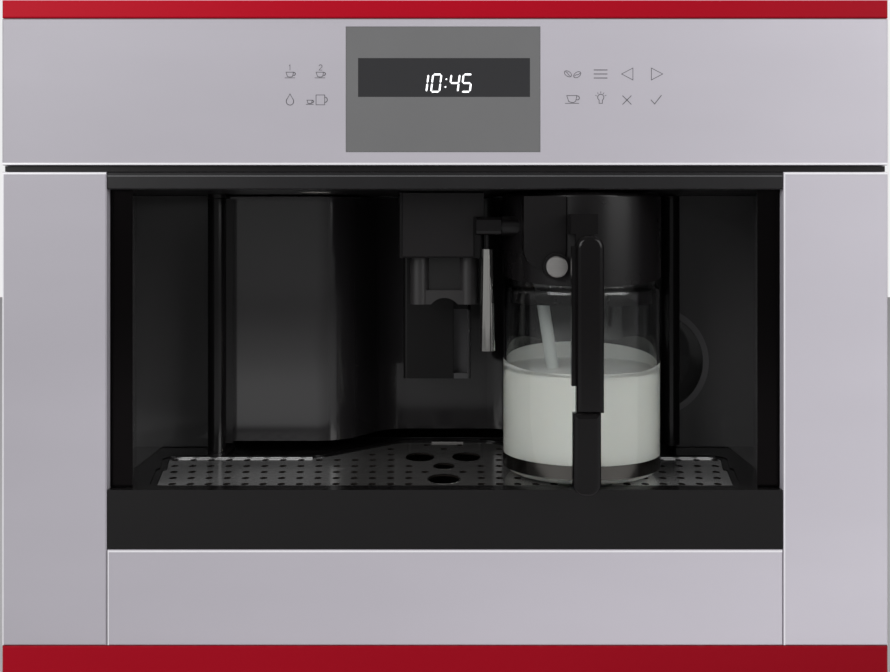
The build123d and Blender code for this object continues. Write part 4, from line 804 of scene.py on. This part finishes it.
def milk_film():
    """The film that milk leaves on the glass above its level, higher at the back."""
    mesh = bmesh.new()
    inner, low, high = MILK_WALL - FILM_THICKNESS, MILK_LEVEL - 1, MILK_LEVEL + 18
    turned(mesh, [(MILK_WALL, low), (MILK_WALL, high), (inner, high), (inner, low)], JUG)
    middle = JUG + Vector((0, 0, (MILK_LEVEL + FILM_HEIGHT) * MM))
    cut = bmesh.ops.bisect_plane(mesh, geom=list(mesh.verts) + list(mesh.edges) + list(mesh.faces), dist=0.000001,
                                 plane_co=middle, plane_no=(0, -FILM_SLOPE, 1), clear_outer=True)
    bmesh.ops.bridge_loops(mesh, edges=[e for e in cut["geom_cut"] if isinstance(e, bmesh.types.BMEdge)])
    film = milk_finish("milk_film", (0.88, 0.89, 0.84), (0.92, 0.93, 0.88))
    close_piece("milk_film", mesh, "jug", film, smooth=50)


DRAIN_HOLES = (  # x, depth, half width, half depth
    (-19.4, 115, 10.9, 16),
    (16.5, 115, 10.9, 16),
    (-0.8, 39, 11, 15),
    (-0.8, 82, 7.5, 10.3),
)


def grid_rims():
    """Thin pressed rims round the four drain holes of the cup grid."""
    mesh = bmesh.new()
    for x, depth, half_width, half_depth in DRAIN_HOLES:
        profile = [(half_width, -0.2), (half_width, 0.15), (half_width + 0.3, 0.3), (half_width + 0.7, 0.15),
                   (half_width + 0.8, -0.2)]
        turned(mesh, profile, at(x, depth, GRID_TOP), 48, half_depth / half_width)
    close_piece("grid_rims", mesh, "drawer", FINISHES["polished_steel"], smooth=60)


def add_strip(mesh, left, right, low, high, thickness):
    """A level or upright strip between four sides, given in millimetres."""
    return add_plate(mesh, [(left, low), (right, low), (right, high), (left, high)], thickness)


BAR_HIGHLIGHT = 336.6, 337.0  # heights of the painted highlight along the bar's top lip


def bar_highlight_line():
    """A painted highlight: a thin grey strip along the black bar over the niche, where its top lip catches the light.
    """
    low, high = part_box("niche_bar")
    mesh = bmesh.new()
    lip = add_strip(mesh, low.x / MM + 0.3, high.x / MM - 0.3, *BAR_HIGHLIGHT, 0.08)
    bmesh.ops.translate(mesh, verts=lip, vec=(0, low.y - FRONT, 0))
    close_piece("bar_highlight_line", mesh, "machine", plastic("bar_highlight_grey", (0.15, 0.15, 0.155), 0.35))


EDGE_INSET, EDGE_WIDE, EDGE_NARROW, EDGE_THICKNESS = 0.3, 1.3, 0.8, 0.1


def edge_highlight_strips():
    """Painted highlights along the rolled front edges of the sheet panels: thin bright strips where the edges catch the
    light.
    """
    mesh = bmesh.new()

    def inner_sides(name):
        low, high = (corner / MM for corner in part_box(name))
        return low.x + EDGE_INSET, high.x - EDGE_INSET, low.z + EDGE_INSET, high.z - EDGE_INSET

    left, right, low, high = inner_sides("control_panel")
    add_strip(mesh, left, right, low, low + EDGE_WIDE, EDGE_THICKNESS)
    for name in ("left_trim", "right_trim", "lower_panel"):
        left, right, low, high = inner_sides(name)
        add_strip(mesh, left, right, high - EDGE_WIDE, high, EDGE_THICKNESS)
        add_strip(mesh, left, left + EDGE_NARROW, low, high - EDGE_WIDE, EDGE_THICKNESS)
    # painted highlight: a bright finish, with a little painted light across it
    finish = painted_sheet("painted_edge_highlights", (0.78, 0.77, 0.80), 0.3, 0.2, across=0.04, specular=0.5)
    close_piece("panel_edge_highlights", mesh, "machine", finish)


# ---------------------------------------------------------------- scene
FLOOR_HALF = 4.0
FAR_FLOOR = 1.45, 1.8  # distances between which the mirrored floor darkens


def pale_floor():
    """The plain floor; glossy surfaces see it darker far away, as in a room."""
    mesh = bmesh.new()
    bmesh.ops.create_grid(mesh, x_segments=1, y_segments=1, size=FLOOR_HALF)
    data = bpy.data.meshes.new("floor")
    mesh.to_mesh(data)
    mesh.free()
    floor = bpy.data.objects.new("floor", data)
    scene.collection.objects.link(floor)
    finish, sh, shader, place = new_finish("floor")
    pale = sh.blend(sh.noise(place, 3.0), (0.74, 0.74, 0.745, 1), (0.78, 0.78, 0.785, 1))
    distance = sh.node("VectorMath", operation="LENGTH")
    sh.join(place, distance.inputs[0])
    away = sh.span(distance.outputs["Value"], *FAR_FLOOR)
    far = sh.maths("MULTIPLY", away, sh.node("LightPath").outputs["Is Glossy Ray"])
    sh.join(sh.blend(far, pale, (0.38, 0.38, 0.38, 1)), shader.inputs["Base Color"])
    set_plain(shader, Roughness=0.7)
    data.materials.append(finish)


make_camera()
for lamp in LAMPS:
    soft_lamp(*lamp)
make_world()
pale_floor()
dress_nodes()
panel_symbols()
clock_digits()
milk_filling()
milk_film()
grid_rims()
edge_highlight_strips()
bar_highlight_line()
